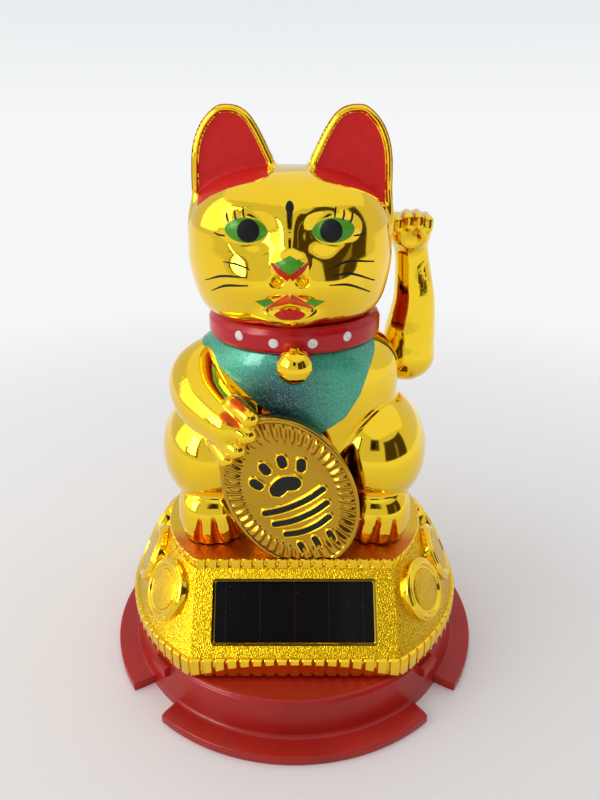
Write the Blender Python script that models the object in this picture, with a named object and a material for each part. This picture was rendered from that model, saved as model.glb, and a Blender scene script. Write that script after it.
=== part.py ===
"""Beckoning cat figurine with a solar-driven waving arm.

Metres, +Z up, -Y is the front, origin at the centre of the base's underside.
Lengths below are in millimetres and are multiplied by MM when geometry is made.
"""

import math

import bmesh
import bpy
from mathutils import Matrix, Vector

MM = 0.001
GAP = 0.3            # air left between neighbouring pieces
WALL = 1.5           # wall of the blow-thin metallised shells

# base
FLANGE_R = 42.0      # bayonet lobes of the red base
FLANGE_T = 2.0
SKIRT_R = 37.5
SKIRT_TOP = 10.3
LOBE_HALF = 40.1     # half-angle of the front and back lobes, degrees
SIDE_LOBE_HALF = 35.8
LUG_R, LUG_LOW, LUG_HIGH, LUG_HALF = 38.4, 7.1, 9.55, 3.5
COVER_TOP = 2.8
GOLD_BOTTOM = SKIRT_TOP + GAP
BAND_R = 37.4
BAND_FLAT = 31.0     # distance of the lower front flat from the axis
BAND_TOP = 15.0
CONE_R = 36.4
CONE_FLAT = 30.0
CONE_TOP = 28.4
PLATFORM_R = 28.3
PLATFORM_FLAT = 19.7
PLATFORM_TOP = 30.7
POST_X, POST_Y = 20.0, 14.1
BOSS_COUNT = 11
BOSS_START = 56.0    # azimuth of the first coin boss from the front, degrees
BOSS_R, BOSS_DEPTH = 6.5, 2.9
BOSS_FACE_R, BOSS_FACE_Z = 33.4, 22.6
BOSS_TILT = 28.0
WINDOW_W, WINDOW_H = 32.0, 11.7
CELL_W, CELL_H, CELL_T = 35.0, 14.0, 1.1
CELL_DEPTH = 1.4     # glass face below the sloped front

# drive
PIVOT_Y, PIVOT_Z = 9.3, 63.4
SHAFT_R = 1.25
MAGNET_R, MAGNET_T = 5.0, 4.0
MAGNET_Z = 16.0
SLOT_X, SLOT_Y = 12.0, 20.0
POST_IN, POST_OUT = 6.2, 8.8
FRAME_HALF_Y = 3.6
FRAME_TOP = 69.0
BOARD_TOP = 5.6

# figure
FEET_Z = PLATFORM_TOP + GAP
BODY_SPLIT = 3.0
NECK_TOP = 76.6
NECK_BORE = 8.0
COLLAR_Y, COLLAR_R = 1.2, 17.3
COLLAR_LOW, COLLAR_HIGH = 73.2, 78.0
BELL_Y, BELL_R = -19.0, 3.1
HEAD_X, HEAD_Y, HEAD_Z = -0.3, -0.5, 91.2
HEAD_RX, HEAD_RY, HEAD_RZ = 19.2, 16.2, 13.9
HEAD_SPLIT = -1.5
COIN_X, COIN_Y, COIN_Z = -0.7, -18.1, 45.4
COIN_A, COIN_B, COIN_T = 12.45, 17.6, 2.2
COIN_TILT = 26.0

# height, centre y, half-width, half-depth of the torso
TORSO = [
    (28.0, 6.0, 18.6, 17.2), (36.0, 6.0, 20.6, 18.6), (45.0, 5.6, 22.0, 19.4),
    (55.0, 4.5, 22.0, 19.4), (62.0, 3.3, 21.4, 19.2), (68.0, 2.2, 20.0, 18.0),
    (71.0, 1.6, 18.3, 17.0), (72.9, COLLAR_Y, 16.4, 16.2), (72.9, COLLAR_Y, 14.6, 14.6),
    (NECK_TOP, COLLAR_Y, 14.2, 14.2),
]
HAUNCH = (16.5, 0.0, 47.8), (11.9, 15.6, 12.6)
FOOT = (17.2, -6.4, 36.0), (7.6, 9.9, 7.6)
SHOULDER = (13.0, 1.0, 65.5), (8.6, 9.0, 7.6)
# points and radii of the arm that rests on the coin
HOLD_ARM = [((-15.0, 0.5, 66.0), 6.6), ((-18.9, -5.5, 64.6), 6.3), ((-17.4, -11.3, 62.2), 5.6),
            ((-13.8, -16.0, 60.6), 5.1), ((-10.2, -19.2, 59.6), 4.8)]
# the waving arm: round root along X, then points and radii up the forearm
ROOT_X, ROOT_R = 21.8, 5.7
ELBOW = (25.0, 9.3, 63.3)
FOREARM = [((25.4, 9.3, 63.5), 5.5), ((26.2, 9.3, 68.0), 4.75), ((26.4, 9.3, 72.0), 4.3),
           ((26.1, 9.1, 78.0), 3.85), ((24.9, 8.7, 86.5), 3.6), ((24.1, 8.3, 90.0), 4.1),
           ((23.9, 8.1, 92.0), 4.1)]
WAVE_SPLIT = 9.2

GOLD = (0.80, 0.53, 0.04)
RED = (0.45, 0.02, 0.02)
BLACK = (0.01, 0.01, 0.012)
STEEL = (0.55, 0.55, 0.57)
COPPER = (0.72, 0.28, 0.10)
GREEN = (0.02, 0.16, 0.07)
WHITE = (0.75, 0.74, 0.70)


def clear_scene():
    for obj in list(bpy.data.objects):
        bpy.data.objects.remove(obj, do_unlink=True)


def collection(name):
    made = bpy.data.collections.new(name)
    bpy.context.scene.collection.children.link(made)
    return made


def material(name, colour, roughness, metallic=0.0):
    made = bpy.data.materials.new(name)
    made.use_nodes = True
    shader = made.node_tree.nodes["Principled BSDF"]
    shader.inputs["Base Color"].default_value = (*colour, 1.0)
    shader.inputs["Roughness"].default_value = roughness
    shader.inputs["Metallic"].default_value = metallic
    return made


clear_scene()
PARTS = collection("beckoning_cat")
TOOLS = collection("cutters")
MAT = {
    "gold": material("gold plating", GOLD, 0.12, 1.0),
    "red": material("red plastic", RED, 0.35),
    "black": material("black plastic", BLACK, 0.3),
    "steel": material("steel", STEEL, 0.3, 1.0),
    "copper": material("enamelled copper", COPPER, 0.35, 1.0),
    "board": material("circuit board", GREEN, 0.5),
    "white": material("white plastic", WHITE, 0.5),
    "glass": material("solar glass", BLACK, 0.08),
    "ferrite": material("ferrite", (0.05, 0.05, 0.05), 0.6),
}


# ---------------------------------------------------------------- tools

def at(x, y, z):
    return Matrix.Translation((x * MM, y * MM, z * MM))


def turn(axis, degrees):
    return Matrix.Rotation(math.radians(degrees), 4, axis)


def add(name, bm, mat="gold", guide=False):
    """Link a bmesh as an object: a finished piece, or a hidden cutter."""
    mesh = bpy.data.meshes.new(name)
    bmesh.ops.recalc_face_normals(bm, faces=bm.faces)
    bm.to_mesh(mesh)
    bm.free()
    obj = bpy.data.objects.new(name, mesh)
    (TOOLS if guide else PARTS).objects.link(obj)
    mesh.materials.append(MAT[mat])
    mesh.shade_smooth()
    mesh.set_sharp_from_angle(angle=math.radians(35))
    if guide:
        obj.hide_render = True
        obj.display_type = "WIRE"
    return obj


def transformed(bm, matrix):
    bmesh.ops.transform(bm, matrix=matrix, verts=bm.verts)
    return bm


def box(x, y, z, matrix=None):
    """Box between two values on each axis, in millimetres."""
    bm = bmesh.new()
    bmesh.ops.create_cube(bm, size=1.0)
    spans = [(pair[1] - pair[0]) * MM for pair in (x, y, z)]
    middle = [(pair[1] + pair[0]) / 2 * MM for pair in (x, y, z)]
    transformed(bm, Matrix.Translation(middle) @ Matrix.Diagonal((*spans, 1.0)))
    return transformed(bm, matrix) if matrix else bm


def cylinder(radius, low, high, matrix=None, sides=24):
    """Upright cylinder about the local Z axis from low to high."""
    bm = bmesh.new()
    bmesh.ops.create_cone(bm, cap_ends=True, segments=sides, radius1=radius * MM,
                          radius2=radius * MM, depth=(high - low) * MM)
    transformed(bm, at(0, 0, (high + low) / 2))
    return transformed(bm, matrix) if matrix else bm


def ellipsoid(centre, radii, u=20, v=10, squareness=1.0):
    """Ellipsoid; squareness under 1 swells it toward a rounded box."""
    bm = bmesh.new()
    bmesh.ops.create_uvsphere(bm, u_segments=u, v_segments=v, radius=1.0)
    for vert in bm.verts:
        vert.co = Vector([math.copysign(abs(c) ** squareness, c) for c in vert.co])
    scale = Matrix.Diagonal((*[r * MM for r in radii], 1.0))
    return transformed(bm, at(*centre) @ scale)


def turned(profile, matrix=None, sides=28):
    """Solid of revolution about local Z from (radius, height) points.

    A profile that starts and ends on the axis is open, any other is a closed ring.
    """
    bm = bmesh.new()
    closed = profile[0][0] > 0
    verts = [bm.verts.new((r * MM, 0, z * MM)) for r, z in profile]
    edges = [bm.edges.new(pair) for pair in zip(verts, verts[1:])]
    if closed:
        edges.append(bm.edges.new((verts[-1], verts[0])))
    bmesh.ops.spin(bm, geom=verts + edges, cent=(0, 0, 0), axis=(0, 0, 1),
                   angle=2 * math.pi, steps=sides, use_merge=True)
    bmesh.ops.remove_doubles(bm, verts=bm.verts, dist=1e-6)
    return transformed(bm, matrix) if matrix else bm


def loft(rings):
    """Closed solid through rings of equal length, capped at both ends."""
    bm = bmesh.new()
    rows = [[bm.verts.new(Vector(p) * MM) for p in ring] for ring in rings]
    for low, high in zip(rows, rows[1:]):
        for i in range(len(low)):
            j = (i + 1) % len(low)
            bm.faces.new((low[i], low[j], high[j], high[i]))
    bm.faces.new(rows[0][::-1])
    bm.faces.new(rows[-1])
    bmesh.ops.triangulate(bm, faces=bm.faces)
    return bm


def flat_front_ring(radius, flat, z, count=48):
    """Circle cut by a straight front at y = -flat, evenly spaced by angle."""
    ring = []
    for i in range(count):
        angle = math.radians(360 * (i + 0.5) / count)
        x, y = radius * math.sin(angle), -radius * math.cos(angle)
        if y < -flat:
            x, y = x * flat / -y, -flat
        ring.append((x, y, z))
    return ring


def ellipse_ring(z, cy, rx, ry, count=28):
    steps = [2 * math.pi * i / count for i in range(count)]
    return [(rx * math.sin(t), cy - ry * math.cos(t), z) for t in steps]


def limb(stations, shrink=0.0, steps=2, sides=12):
    """Round-ended tube through (point, radius) stations, smoothly joined."""
    points = [Vector(p) for p, _ in stations]
    radii = [r - shrink for _, r in stations]
    path, sizes = [], []
    for i in range(len(points) - 1):
        before, after = points[max(i - 1, 0)], points[min(i + 2, len(points) - 1)]
        for k in range(steps):
            t = k / steps
            path.append(catmull(before, points[i], points[i + 1], after, t))
            sizes.append(radii[i] + (radii[i + 1] - radii[i]) * t)
    path.append(points[-1])
    sizes.append(radii[-1])
    tip = (path[-1] - path[-2]).normalized()
    for angle in (35, 68):
        path.append(points[-1] + tip * radii[-1] * math.sin(math.radians(angle)))
        sizes.append(radii[-1] * math.cos(math.radians(angle)))
    return loft(frames_along(path, sizes, sides))


def catmull(a, b, c, d, t):
    return 0.5 * ((2 * b) + (c - a) * t + (2 * a - 5 * b + 4 * c - d) * t ** 2
                  + (3 * b - a - 3 * c + d) * t ** 3)


def frames_along(path, sizes, sides):
    """Circles square to a path, without twist."""
    rings = []
    across = None
    for i, point in enumerate(path):
        ahead = path[min(i + 1, len(path) - 1)] - path[max(i - 1, 0)]
        ahead.normalize()
        if across is None:
            across = ahead.orthogonal().normalized()
        across = (across - ahead * across.dot(ahead)).normalized()
        up = ahead.cross(across)
        turns = [2 * math.pi * k / sides for k in range(sides)]
        rings.append([point + (across * math.cos(t) + up * math.sin(t)) * sizes[i] for t in turns])
    return rings


def combine(target, operation, *tools):
    for tool in tools:
        step = target.modifiers.new(tool.name, "BOOLEAN")
        step.operation = operation
        step.object = tool
        step.solver = "EXACT"


def join(target, *tools):
    combine(target, "UNION", *tools)


def cut(target, *tools):
    combine(target, "DIFFERENCE", *tools)


def hull(points):
    bm = bmesh.new()
    for point in points:
        bm.verts.new(Vector(point) * MM)
    made = bmesh.ops.convex_hull(bm, input=bm.verts)
    bmesh.ops.delete(bm, geom=made["geom_interior"], context="VERTS")
    return bm


def tool(name, bm):
    return add("tool_" + name, bm, guide=True)


# ---------------------------------------------------------------- base

def sector(inner, outer, low, high, middle, half):
    """Curved block: part of a ring about Z, centred on an azimuth from the front."""
    count = max(1, round(half / 5))
    rings = []
    for i in range(2 * count + 1):
        angle = math.radians(middle - half + half * i / count)
        s, c = math.sin(angle), -math.cos(angle)
        rings.append([(inner * s, inner * c, low), (outer * s, outer * c, low),
                      (outer * s, outer * c, high), (inner * s, inner * c, high)])
    return loft(rings)


def make_red_base():
    profile = [(30.0, SKIRT_TOP), (35.6, SKIRT_TOP), (36.4, 9.8), (36.8, 8.6), (SKIRT_R, FLANGE_T),
               (FLANGE_R - 0.4, FLANGE_T), (FLANGE_R, FLANGE_T - 0.4), (FLANGE_R, 0.0), (34.9, 0.0),
               (34.9, COVER_TOP + GAP), (33.0, COVER_TOP + GAP), (33.0, 8.6), (30.0, 8.6)]
    base = add("red_base", turned(profile, sides=48), "red")
    gap_half = (90 - LOBE_HALF - SIDE_LOBE_HALF) / 2
    gap_middle = LOBE_HALF + gap_half
    for middle in (-gap_middle, gap_middle, 180 - gap_middle, 180 + gap_middle):
        gap = sector(SKIRT_R + 0.5, FLANGE_R + 3, -1.0, FLANGE_T + 1, middle, gap_half)
        cut(base, tool("lobe_gap_%d" % middle, gap))
        lug = sector(35.0, LUG_R, LUG_LOW, LUG_HIGH, middle, LUG_HALF)
        join(base, tool("lug_%d" % middle, lug))
    return base


def screw_mesh(head_r, head_t, shank_r, shank_l, matrix, sides=8):
    """Pan-head screw: the head's top at local z = 0, the shank running down."""
    profile = [(0, 0), (head_r * 0.8, 0), (head_r, -head_t * 0.5), (head_r, -head_t),
               (shank_r, -head_t), (shank_r, -head_t - shank_l + shank_r),
               (0, -head_t - shank_l)]
    return turned(profile, matrix, sides)


def post_places():
    return [(sx * POST_X, sy * POST_Y) for sy in (-1, 1) for sx in (-1, 1)]


def make_bottom_cover():
    cover = add("bottom_cover", cylinder(34.6, 0.4, COVER_TOP, sides=40), "red")
    cut(cover, tool("label_recess", cylinder(15.0, -1.0, 0.9, sides=24)))
    for i, (x, y) in enumerate(post_places(), 1):
        cut(cover, tool("cover_sink_%d" % i, cylinder(3.2, -1.0, 1.6, at(x, y, 0), 14)))
        cut(cover, tool("cover_hole_%d" % i, cylinder(1.7, 0.0, 4.0, at(x, y, 0), 10)))
        screw = screw_mesh(2.8, 1.1, 1.2, 9.0, at(x, y, 0.5) @ turn("X", 180))
        add("base_screw_%d" % i, screw, "steel")
    for i, (x, y) in enumerate(board_fixings(), 1):
        join(cover, tool("standoff_%d" % i, cylinder(2.4, 2.0, 4.1, at(x, y, 0), 16)))
        cut(cover, tool("standoff_bore_%d" % i, cylinder(0.9, 1.8, 5.0, at(x, y, 0), 12)))


def boss_angles():
    step = (360 - 2 * BOSS_START) / (BOSS_COUNT - 1)
    return [BOSS_START + step * i for i in range(BOSS_COUNT)]


def boss_matrix(azimuth):
    """Local Z points out of a coin boss, with its face at the origin."""
    return turn("Z", azimuth) @ at(0, -BOSS_FACE_R, BOSS_FACE_Z) @ turn("X", 90 - BOSS_TILT)


def facet_matrix():
    """Local Z points out of the sloped front, local Y up the slope, origin mid-slope."""
    rise, run = CONE_TOP - BAND_TOP, CONE_FLAT - PLATFORM_FLAT + 0.4
    slope = math.degrees(math.atan2(rise, run))
    return at(0, -(CONE_FLAT + PLATFORM_FLAT - 0.4) / 2, (CONE_TOP + BAND_TOP) / 2) @ turn("X", slope)


def base_shell():
    """Open-bottomed shell: inner rings from the ceiling down, then outer rings up to the platform."""
    inner = [(CONE_TOP - 0.2, 26.0, PLATFORM_FLAT - 2.2), (BAND_TOP, 34.2, 27.8), (GOLD_BOTTOM, 34.2, 27.8)]
    outer = [(GOLD_BOTTOM, 36.2, 29.8), (11.0, 36.2, 29.8), (11.0, BAND_R, BAND_FLAT),
             (BAND_TOP, BAND_R, BAND_FLAT), (BAND_TOP + 0.1, CONE_R, CONE_FLAT),
             (CONE_TOP, 27.9, PLATFORM_FLAT - 0.4), (CONE_TOP + 0.2, PLATFORM_R, PLATFORM_FLAT),
             (PLATFORM_TOP, PLATFORM_R, PLATFORM_FLAT)]
    return loft([flat_front_ring(r, flat, z) for z, r, flat in inner + outer])


def make_gold_base():
    base = add("gold_base", base_shell())
    for i, (x, y) in enumerate(post_places(), 1):
        join(base, tool("post_%d" % i, cylinder(3.2, COVER_TOP + GAP, 28.8, at(x, y, 0), 12)))
        cut(base, tool("post_bore_%d" % i, cylinder(1.5, 2.0, 13.0, at(x, y, 0), 8)))
    for i, (x, y) in enumerate(frame_fixings(), 1):
        join(base, tool("frame_boss_%d" % i, cylinder(2.4, 23.0, 29.5, at(x, y, 0), 10)))
        cut(base, tool("frame_bore_%d" % i, cylinder(1.2, 24.0, 32.0, at(x, y, 0), 8)))
    for i, (x, y) in enumerate(body_fixings(), 1):
        cut(base, tool("body_hole_%d" % i, cylinder(1.7, 26.0, 32.0, at(x, y, 0), 8)))
    slot = box((-SLOT_X / 2, SLOT_X / 2), (PIVOT_Y - SLOT_Y / 2, PIVOT_Y + SLOT_Y / 2), (26, 32))
    cut(base, tool("lever_slot", slot))
    facet = facet_matrix()
    window = box((-WINDOW_W / 2, WINDOW_W / 2), (-WINDOW_H / 2, WINDOW_H / 2), (-3, 3), facet)
    cut(base, tool("window", window))
    seat = box((-CELL_W / 2 - 0.4, CELL_W / 2 + 0.4), (-CELL_H / 2 - 0.4, CELL_H / 2 + 0.4),
               (-4, -1.1), facet)
    cut(base, tool("cell_seat", seat))
    drum = [(0, 0), (BOSS_R - 0.4, 0), (BOSS_R, -0.4), (BOSS_R, -BOSS_DEPTH), (0, -BOSS_DEPTH)]
    for i, azimuth in enumerate(boss_angles(), 1):
        join(base, tool("boss_%d" % i, turned(drum, boss_matrix(azimuth), 16)))
    return base


def make_cell():
    facet = facet_matrix()
    half_w, half_h = CELL_W / 2, CELL_H / 2
    cell = box((-half_w, half_w), (-half_h, half_h), (-CELL_DEPTH - CELL_T, -CELL_DEPTH), facet)
    add("solar_cell", cell, "glass")
    for name, side, mat in (("cell_wire_red", 1, "red"), ("cell_wire_black", -1, "black")):
        make_wire(name, side, mat)


def make_wire(name, side, mat):
    """Insulated wire from the back of the cell down to the circuit board."""
    route = [(9.0, -21.6, 18.9), (8.6, -18.5, 15.5), (7.4, -14.5, 11.0), (5.6, -9.0, 8.4),
             (4.4, -5.0, 7.6), (3.6, -2.9, 6.0)]
    stations = [((side * x, y, z), 0.5) for x, y, z in route]
    add(name, limb(stations, sides=6), mat)


# ---------------------------------------------------------------- drive

def board_fixings():
    return [(-12.5, 20.0), (12.5, 20.0)]


def frame_fixings():
    return [(-12.4, PIVOT_Y), (12.4, PIVOT_Y)]


def body_fixings():
    return [(-17.0, -7.0), (17.0, -7.0), (-12.5, 16.9), (12.5, 16.9)]


def make_electronics():
    board = add("circuit_board", box((-16, 16), (-5, 24), (4.4, BOARD_TOP)), "board")
    for i, (x, y) in enumerate(board_fixings(), 1):
        cut(board, tool("board_hole_%d" % i, cylinder(1.1, 3.0, 7.0, at(x, y, 0), 12)))
        add("board_screw_%d" % i, screw_mesh(1.8, 1.0, 0.7, 3.0, at(x, y, BOARD_TOP + GAP + 1.0)), "steel")
    spool = [(1.6, 12.4), (8.4, 12.4), (8.4, 11.6), (3.2, 11.6), (3.2, 6.7), (8.4, 6.7),
             (8.4, BOARD_TOP + GAP), (1.6, BOARD_TOP + GAP)]
    add("coil_bobbin", turned(spool, at(0, PIVOT_Y, 0), 28), "white")
    winding = [(3.5, 11.3), (7.8, 11.3), (7.8, 7.0), (3.5, 7.0)]
    add("coil_winding", turned(winding, at(0, PIVOT_Y, 0), 28), "copper")
    blob = [(0, 7.4), (1.6, 7.2), (2.6, 6.6), (3.0, BOARD_TOP + GAP), (0, BOARD_TOP + GAP)]
    add("chip_blob", turned(blob, at(-11.0, 2.0, 0), 16), "black")
    can = [(0, 13.6), (2.9, 13.6), (3.2, 13.3), (3.2, BOARD_TOP + GAP), (0, BOARD_TOP + GAP)]
    add("capacitor", turned(can, at(11.0, 1.5, 0), 20), "black")


def make_swing_frame():
    y = (PIVOT_Y - FRAME_HALF_Y, PIVOT_Y + FRAME_HALF_Y)
    frame = add("swing_frame", box((-POST_OUT, POST_OUT), y, (67.2, FRAME_TOP)), "white")
    along_x = at(0, PIVOT_Y, PIVOT_Z) @ turn("Y", 90)
    for side in (-1, 1):
        post = sorted((side * POST_IN, side * POST_OUT))
        join(frame, tool("frame_post_%d" % side, box(post, y, (FEET_Z, 68.0))))
        foot = sorted((side * (POST_OUT - 0.5), side * 14.8))
        join(frame, tool("frame_foot_%d" % side, box(foot, y, (FEET_Z, FEET_Z + 2.0))))
        rib = hull([(side * x, PIVOT_Y + dy, z) for dy in (-0.8, 0.8)
                    for x, z in ((POST_OUT - 0.4, FEET_Z + 1), (POST_OUT - 0.4, 42), (10.6, FEET_Z + 1))])
        join(frame, tool("frame_rib_%d" % side, rib))
    cut(frame, tool("shaft_bore", cylinder(SHAFT_R + 0.35, -12, 12, along_x, 20)))
    for i, (x, y_at) in enumerate(frame_fixings(), 1):
        cut(frame, tool("foot_hole_%d" % i, cylinder(1.3, 30, 35, at(x, y_at, 0), 12)))
        top = FEET_Z + 2.0 + GAP + 1.2
        add("frame_screw_%d" % i, screw_mesh(2.0, 1.2, 0.9, 7.5, at(x, y_at, top), 14), "steel")


def make_swing_parts():
    along_x = at(0, PIVOT_Y, PIVOT_Z) @ turn("Y", 90)
    shaft = [(0, 26.0), (SHAFT_R - 0.3, 26.0), (SHAFT_R, 25.7), (SHAFT_R, -9.4), (2.4, -9.4),
             (2.4, -10.8), (0, -10.8)]
    add("pivot_shaft", turned(shaft, along_x, 20), "steel")
    lever = add("pendulum_lever", cylinder(3.0, -3.2, 3.2, along_x, 24), "white")
    join(lever, tool("lever_bar", box((-1.3, 1.3), (PIVOT_Y - 1.6, PIVOT_Y + 1.6), (19.0, PIVOT_Z))))
    cup_top = MAGNET_Z + MAGNET_T / 2 + GAP + 1.2
    cup = cylinder(MAGNET_R + 1.2, MAGNET_Z - 1.6, cup_top, at(0, PIVOT_Y, 0), 28)
    join(lever, tool("magnet_cup", cup))
    cut(lever, tool("lever_bore", cylinder(SHAFT_R + 0.06, -5, 5, along_x, 20)))
    pocket = cylinder(MAGNET_R + 0.1, 10.0, cup_top - 1.2, at(0, PIVOT_Y, 0), 28)
    cut(lever, tool("magnet_pocket", pocket))
    magnet = cylinder(MAGNET_R, MAGNET_Z - MAGNET_T / 2, MAGNET_Z + MAGNET_T / 2, at(0, PIVOT_Y, 0), 28)
    add("magnet", magnet, "ferrite")


def make_wave_arm():
    for name, keep in (("arm_front", (-20, WAVE_SPLIT - GAP / 2)), ("arm_back", (WAVE_SPLIT + GAP / 2, 40))):
        half = add(name, limb(FOREARM, steps=2, sides=12))
        join(half, tool(name + "_elbow", ellipsoid(ELBOW, (5.8, 5.8, 5.8), 16, 10)))
        root = cylinder(ROOT_R, ROOT_X, ELBOW[0], at(0, PIVOT_Y, PIVOT_Z) @ turn("Y", 90), 24)
        join(half, tool(name + "_root", root))
        cut(half, tool(name + "_hollow", limb(FOREARM[2:], 1.3, steps=1, sides=12)))
        bore = cylinder(SHAFT_R + 0.08, 10, 26.4, at(0, PIVOT_Y, PIVOT_Z) @ turn("Y", 90), 20)
        cut(half, tool(name + "_bore", bore))
        combine(half, "INTERSECT", tool(name + "_side", box((ROOT_X, 40), keep, (50, 110))))


# ---------------------------------------------------------------- figure

def koban_matrix():
    return at(COIN_X, COIN_Y, COIN_Z) @ turn("Y", -COIN_TILT) @ turn("X", 90)


def koban_mesh(grow):
    """Oval coin standing on edge, faces along Y; grow widens it all round."""
    profile = [(0, 1), (0.82, 1), (0.86, 1.35), (0.95, 1.35), (1, 0.9), (1, -1), (0, -1)]
    if grow:
        profile = [(0, 1.5), (1, 1.5), (1, -1.2), (0, -1.2)]
    half = COIN_T / 2
    bm = turned([(r / MM, z * half / MM) for r, z in profile], sides=36)
    thick = Matrix.Diagonal(((COIN_A + grow) * MM, (COIN_B + grow) * MM, MM, 1))
    return transformed(bm, koban_matrix() @ thick)


def make_koban():
    coin = add("koban_coin", koban_mesh(0))
    cut(coin, tool("coin_foot", box((-30, 30), (-30, 0), (20, FEET_Z))))


def mirrored(centre, side):
    return (side * centre[0], centre[1], centre[2])


def body_pieces(name):
    """Outer form of the body as a list of objects to be joined."""
    pieces = []
    for side, label in ((-1, "left"), (1, "right")):
        pieces.append(tool("%s_haunch_%s" % (name, label), ellipsoid(mirrored(HAUNCH[0], side), HAUNCH[1])))
        foot = ellipsoid(mirrored(FOOT[0], side), FOOT[1], squareness=0.75)
        pieces.append(tool("%s_foot_%s" % (name, label), foot))
        shoulder = ellipsoid(mirrored(SHOULDER[0], side), SHOULDER[1], 20, 12)
        pieces.append(tool("%s_shoulder_%s" % (name, label), shoulder))
    pieces.append(tool(name + "_hold_arm", limb(HOLD_ARM)))
    return pieces


def torso_mesh(inset=0.0):
    levels = TORSO
    if inset:
        levels = [(z, cy, rx - inset, ry - inset) for z, cy, rx, ry in TORSO if z < 72]
        levels.append((72.9, COLLAR_Y, 13.2, 13.2))
        levels.append((NECK_TOP - inset, COLLAR_Y, 12.8, 12.8))
    return loft([ellipse_ring(*level) for level in levels])


def make_body_half(name, keep):
    half = add(name, torso_mesh())
    join(half, *body_pieces(name))
    cut(half, tool(name + "_hollow", torso_mesh(WALL)))
    for side in (-1, 1):
        centre = mirrored(HAUNCH[0], side)
        radii = [r - WALL for r in HAUNCH[1]]
        cut(half, tool("%s_haunch_hollow_%d" % (name, side), ellipsoid(centre, radii, 14, 8)))
    for i, (x, y) in enumerate(body_fixings(), 1):
        if keep[0] < y < keep[1]:
            join(half, tool("%s_boss_%d" % (name, i), cylinder(2.9, 29.0, 42.0, at(x, y, 0), 10)))
            cut(half, tool("%s_bore_%d" % (name, i), cylinder(1.45, 28.0, 41.0, at(x, y, 0), 8)))
    cut(half, tool(name + "_coin_gap", koban_mesh(GAP)))
    cut(half, tool(name + "_neck_bore", cylinder(NECK_BORE, 70.0, 80.0, at(0, COLLAR_Y, 0), 28)))
    shaft_way = at(0, PIVOT_Y, PIVOT_Z) @ turn("Y", 90)
    cut(half, tool(name + "_shaft_hole", cylinder(2.3, 12.0, 30.0, shaft_way, 20)))
    combine(half, "INTERSECT", tool(name + "_side", box((-40, 40), keep, (FEET_Z, 90))))
    return half


def make_body():
    make_body_half("body_front", (-40, BODY_SPLIT - GAP / 2))
    make_body_half("body_back", (BODY_SPLIT + GAP / 2, 40))
    for i, (x, y) in enumerate(body_fixings(), 1):
        screw = screw_mesh(2.6, 1.2, 1.1, 12.5, at(x, y, 26.7) @ turn("X", 180))
        add("body_screw_%d" % i, screw, "steel")


def ear_mesh(side):
    """Upright rounded ear, thinner toward its back edge."""
    outline = [(17.3, 94.0), (17.5, 103.0), (17.2, 109.0), (15.4, 112.8), (13.4, 114.6), (11.6, 115.2),
               (9.2, 114.8), (7.4, 113.6), (5.6, 111.0), (4.2, 108.4), (2.9, 105.0), (3.5, 98.0)]
    front = [(side * x, -5.6, z - (0.5 if z > 100 else 0)) for x, z in outline]
    middle = [(side * x, -4.6, z) for x, z in outline]
    back = [(side * (10.5 + (x - 10.5) * 0.8), 1.6, 94 + (z - 94) * 0.9) for x, z in outline]
    return hull(front + middle + back)


def make_head_half(name, keep):
    half = add(name, ellipsoid((HEAD_X, HEAD_Y, HEAD_Z), (HEAD_RX, HEAD_RY, HEAD_RZ), 26, 14, 0.93))
    join(half, tool(name + "_muzzle", ellipsoid((-0.5, -13.0, 85.6), (8.6, 6.0, 5.4), 16, 10)))
    for side in (-1, 1):
        join(half, tool("%s_ear_%d" % (name, side), ear_mesh(side)))
    join(half, tool(name + "_neck", cylinder(NECK_BORE - GAP, 72.2, 82.0, at(0, COLLAR_Y, 0), 28)))
    inner = [HEAD_RX - WALL, HEAD_RY - WALL, HEAD_RZ - WALL]
    cut(half, tool(name + "_hollow", ellipsoid((HEAD_X, HEAD_Y, HEAD_Z), inner, 16, 10, 0.93)))
    cut(half, tool(name + "_neck_way", cylinder(NECK_BORE - GAP - 1.4, 70.0, 84.0, at(0, COLLAR_Y, 0), 24)))
    combine(half, "INTERSECT", tool(name + "_side", box((-40, 40), keep, (60, 130))))
    return half


def make_head():
    make_head_half("head_front", (-40, HEAD_SPLIT - GAP / 2))
    make_head_half("head_back", (HEAD_SPLIT + GAP / 2, 40))


def make_collar():
    profile = [(15.3, COLLAR_HIGH), (16.7, COLLAR_HIGH), (COLLAR_R, 77.2), (COLLAR_R, 74.2),
               (17.0, COLLAR_LOW), (15.3, COLLAR_LOW)]
    collar = add("collar", turned(profile, at(0, COLLAR_Y, 0), 44), "red")
    peg_way = at(0, 0, 75.0) @ turn("X", 90)
    cut(collar, tool("peg_hole", cylinder(1.0, 5.0, 25.0, peg_way, 14)))
    bell = add("bell", ellipsoid((0, BELL_Y, 72.0), (BELL_R, BELL_R, BELL_R), 18, 10))
    join(bell, tool("bell_crown", cylinder(1.2, 74.2, 75.8, at(0, BELL_Y, 0), 14)))
    join(bell, tool("bell_peg", cylinder(0.7, 13.9, -BELL_Y, peg_way, 12)))
    cut(bell, tool("bell_slot", box((-2.2, 2.2), (-24, -15), (70.0, 70.6))))


make_red_base()
make_bottom_cover()
make_gold_base()
make_cell()
make_electronics()
make_swing_frame()
make_swing_parts()
make_wave_arm()
make_koban()
make_body()
make_head()
make_collar()
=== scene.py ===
"""Looks of the beckoning cat figurine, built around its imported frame.

Shapes are worked out in millimetres and scaled to metres when a mesh is made.
+Z is up, -Y is the front, and the origin is the centre of the underside.
The moulded skins (body, head, waving arm) are distance fields turned into meshes.
"""

import math

import bmesh
import bpy
import numpy as np
import openvdb
from mathutils import Matrix, Vector


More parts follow.
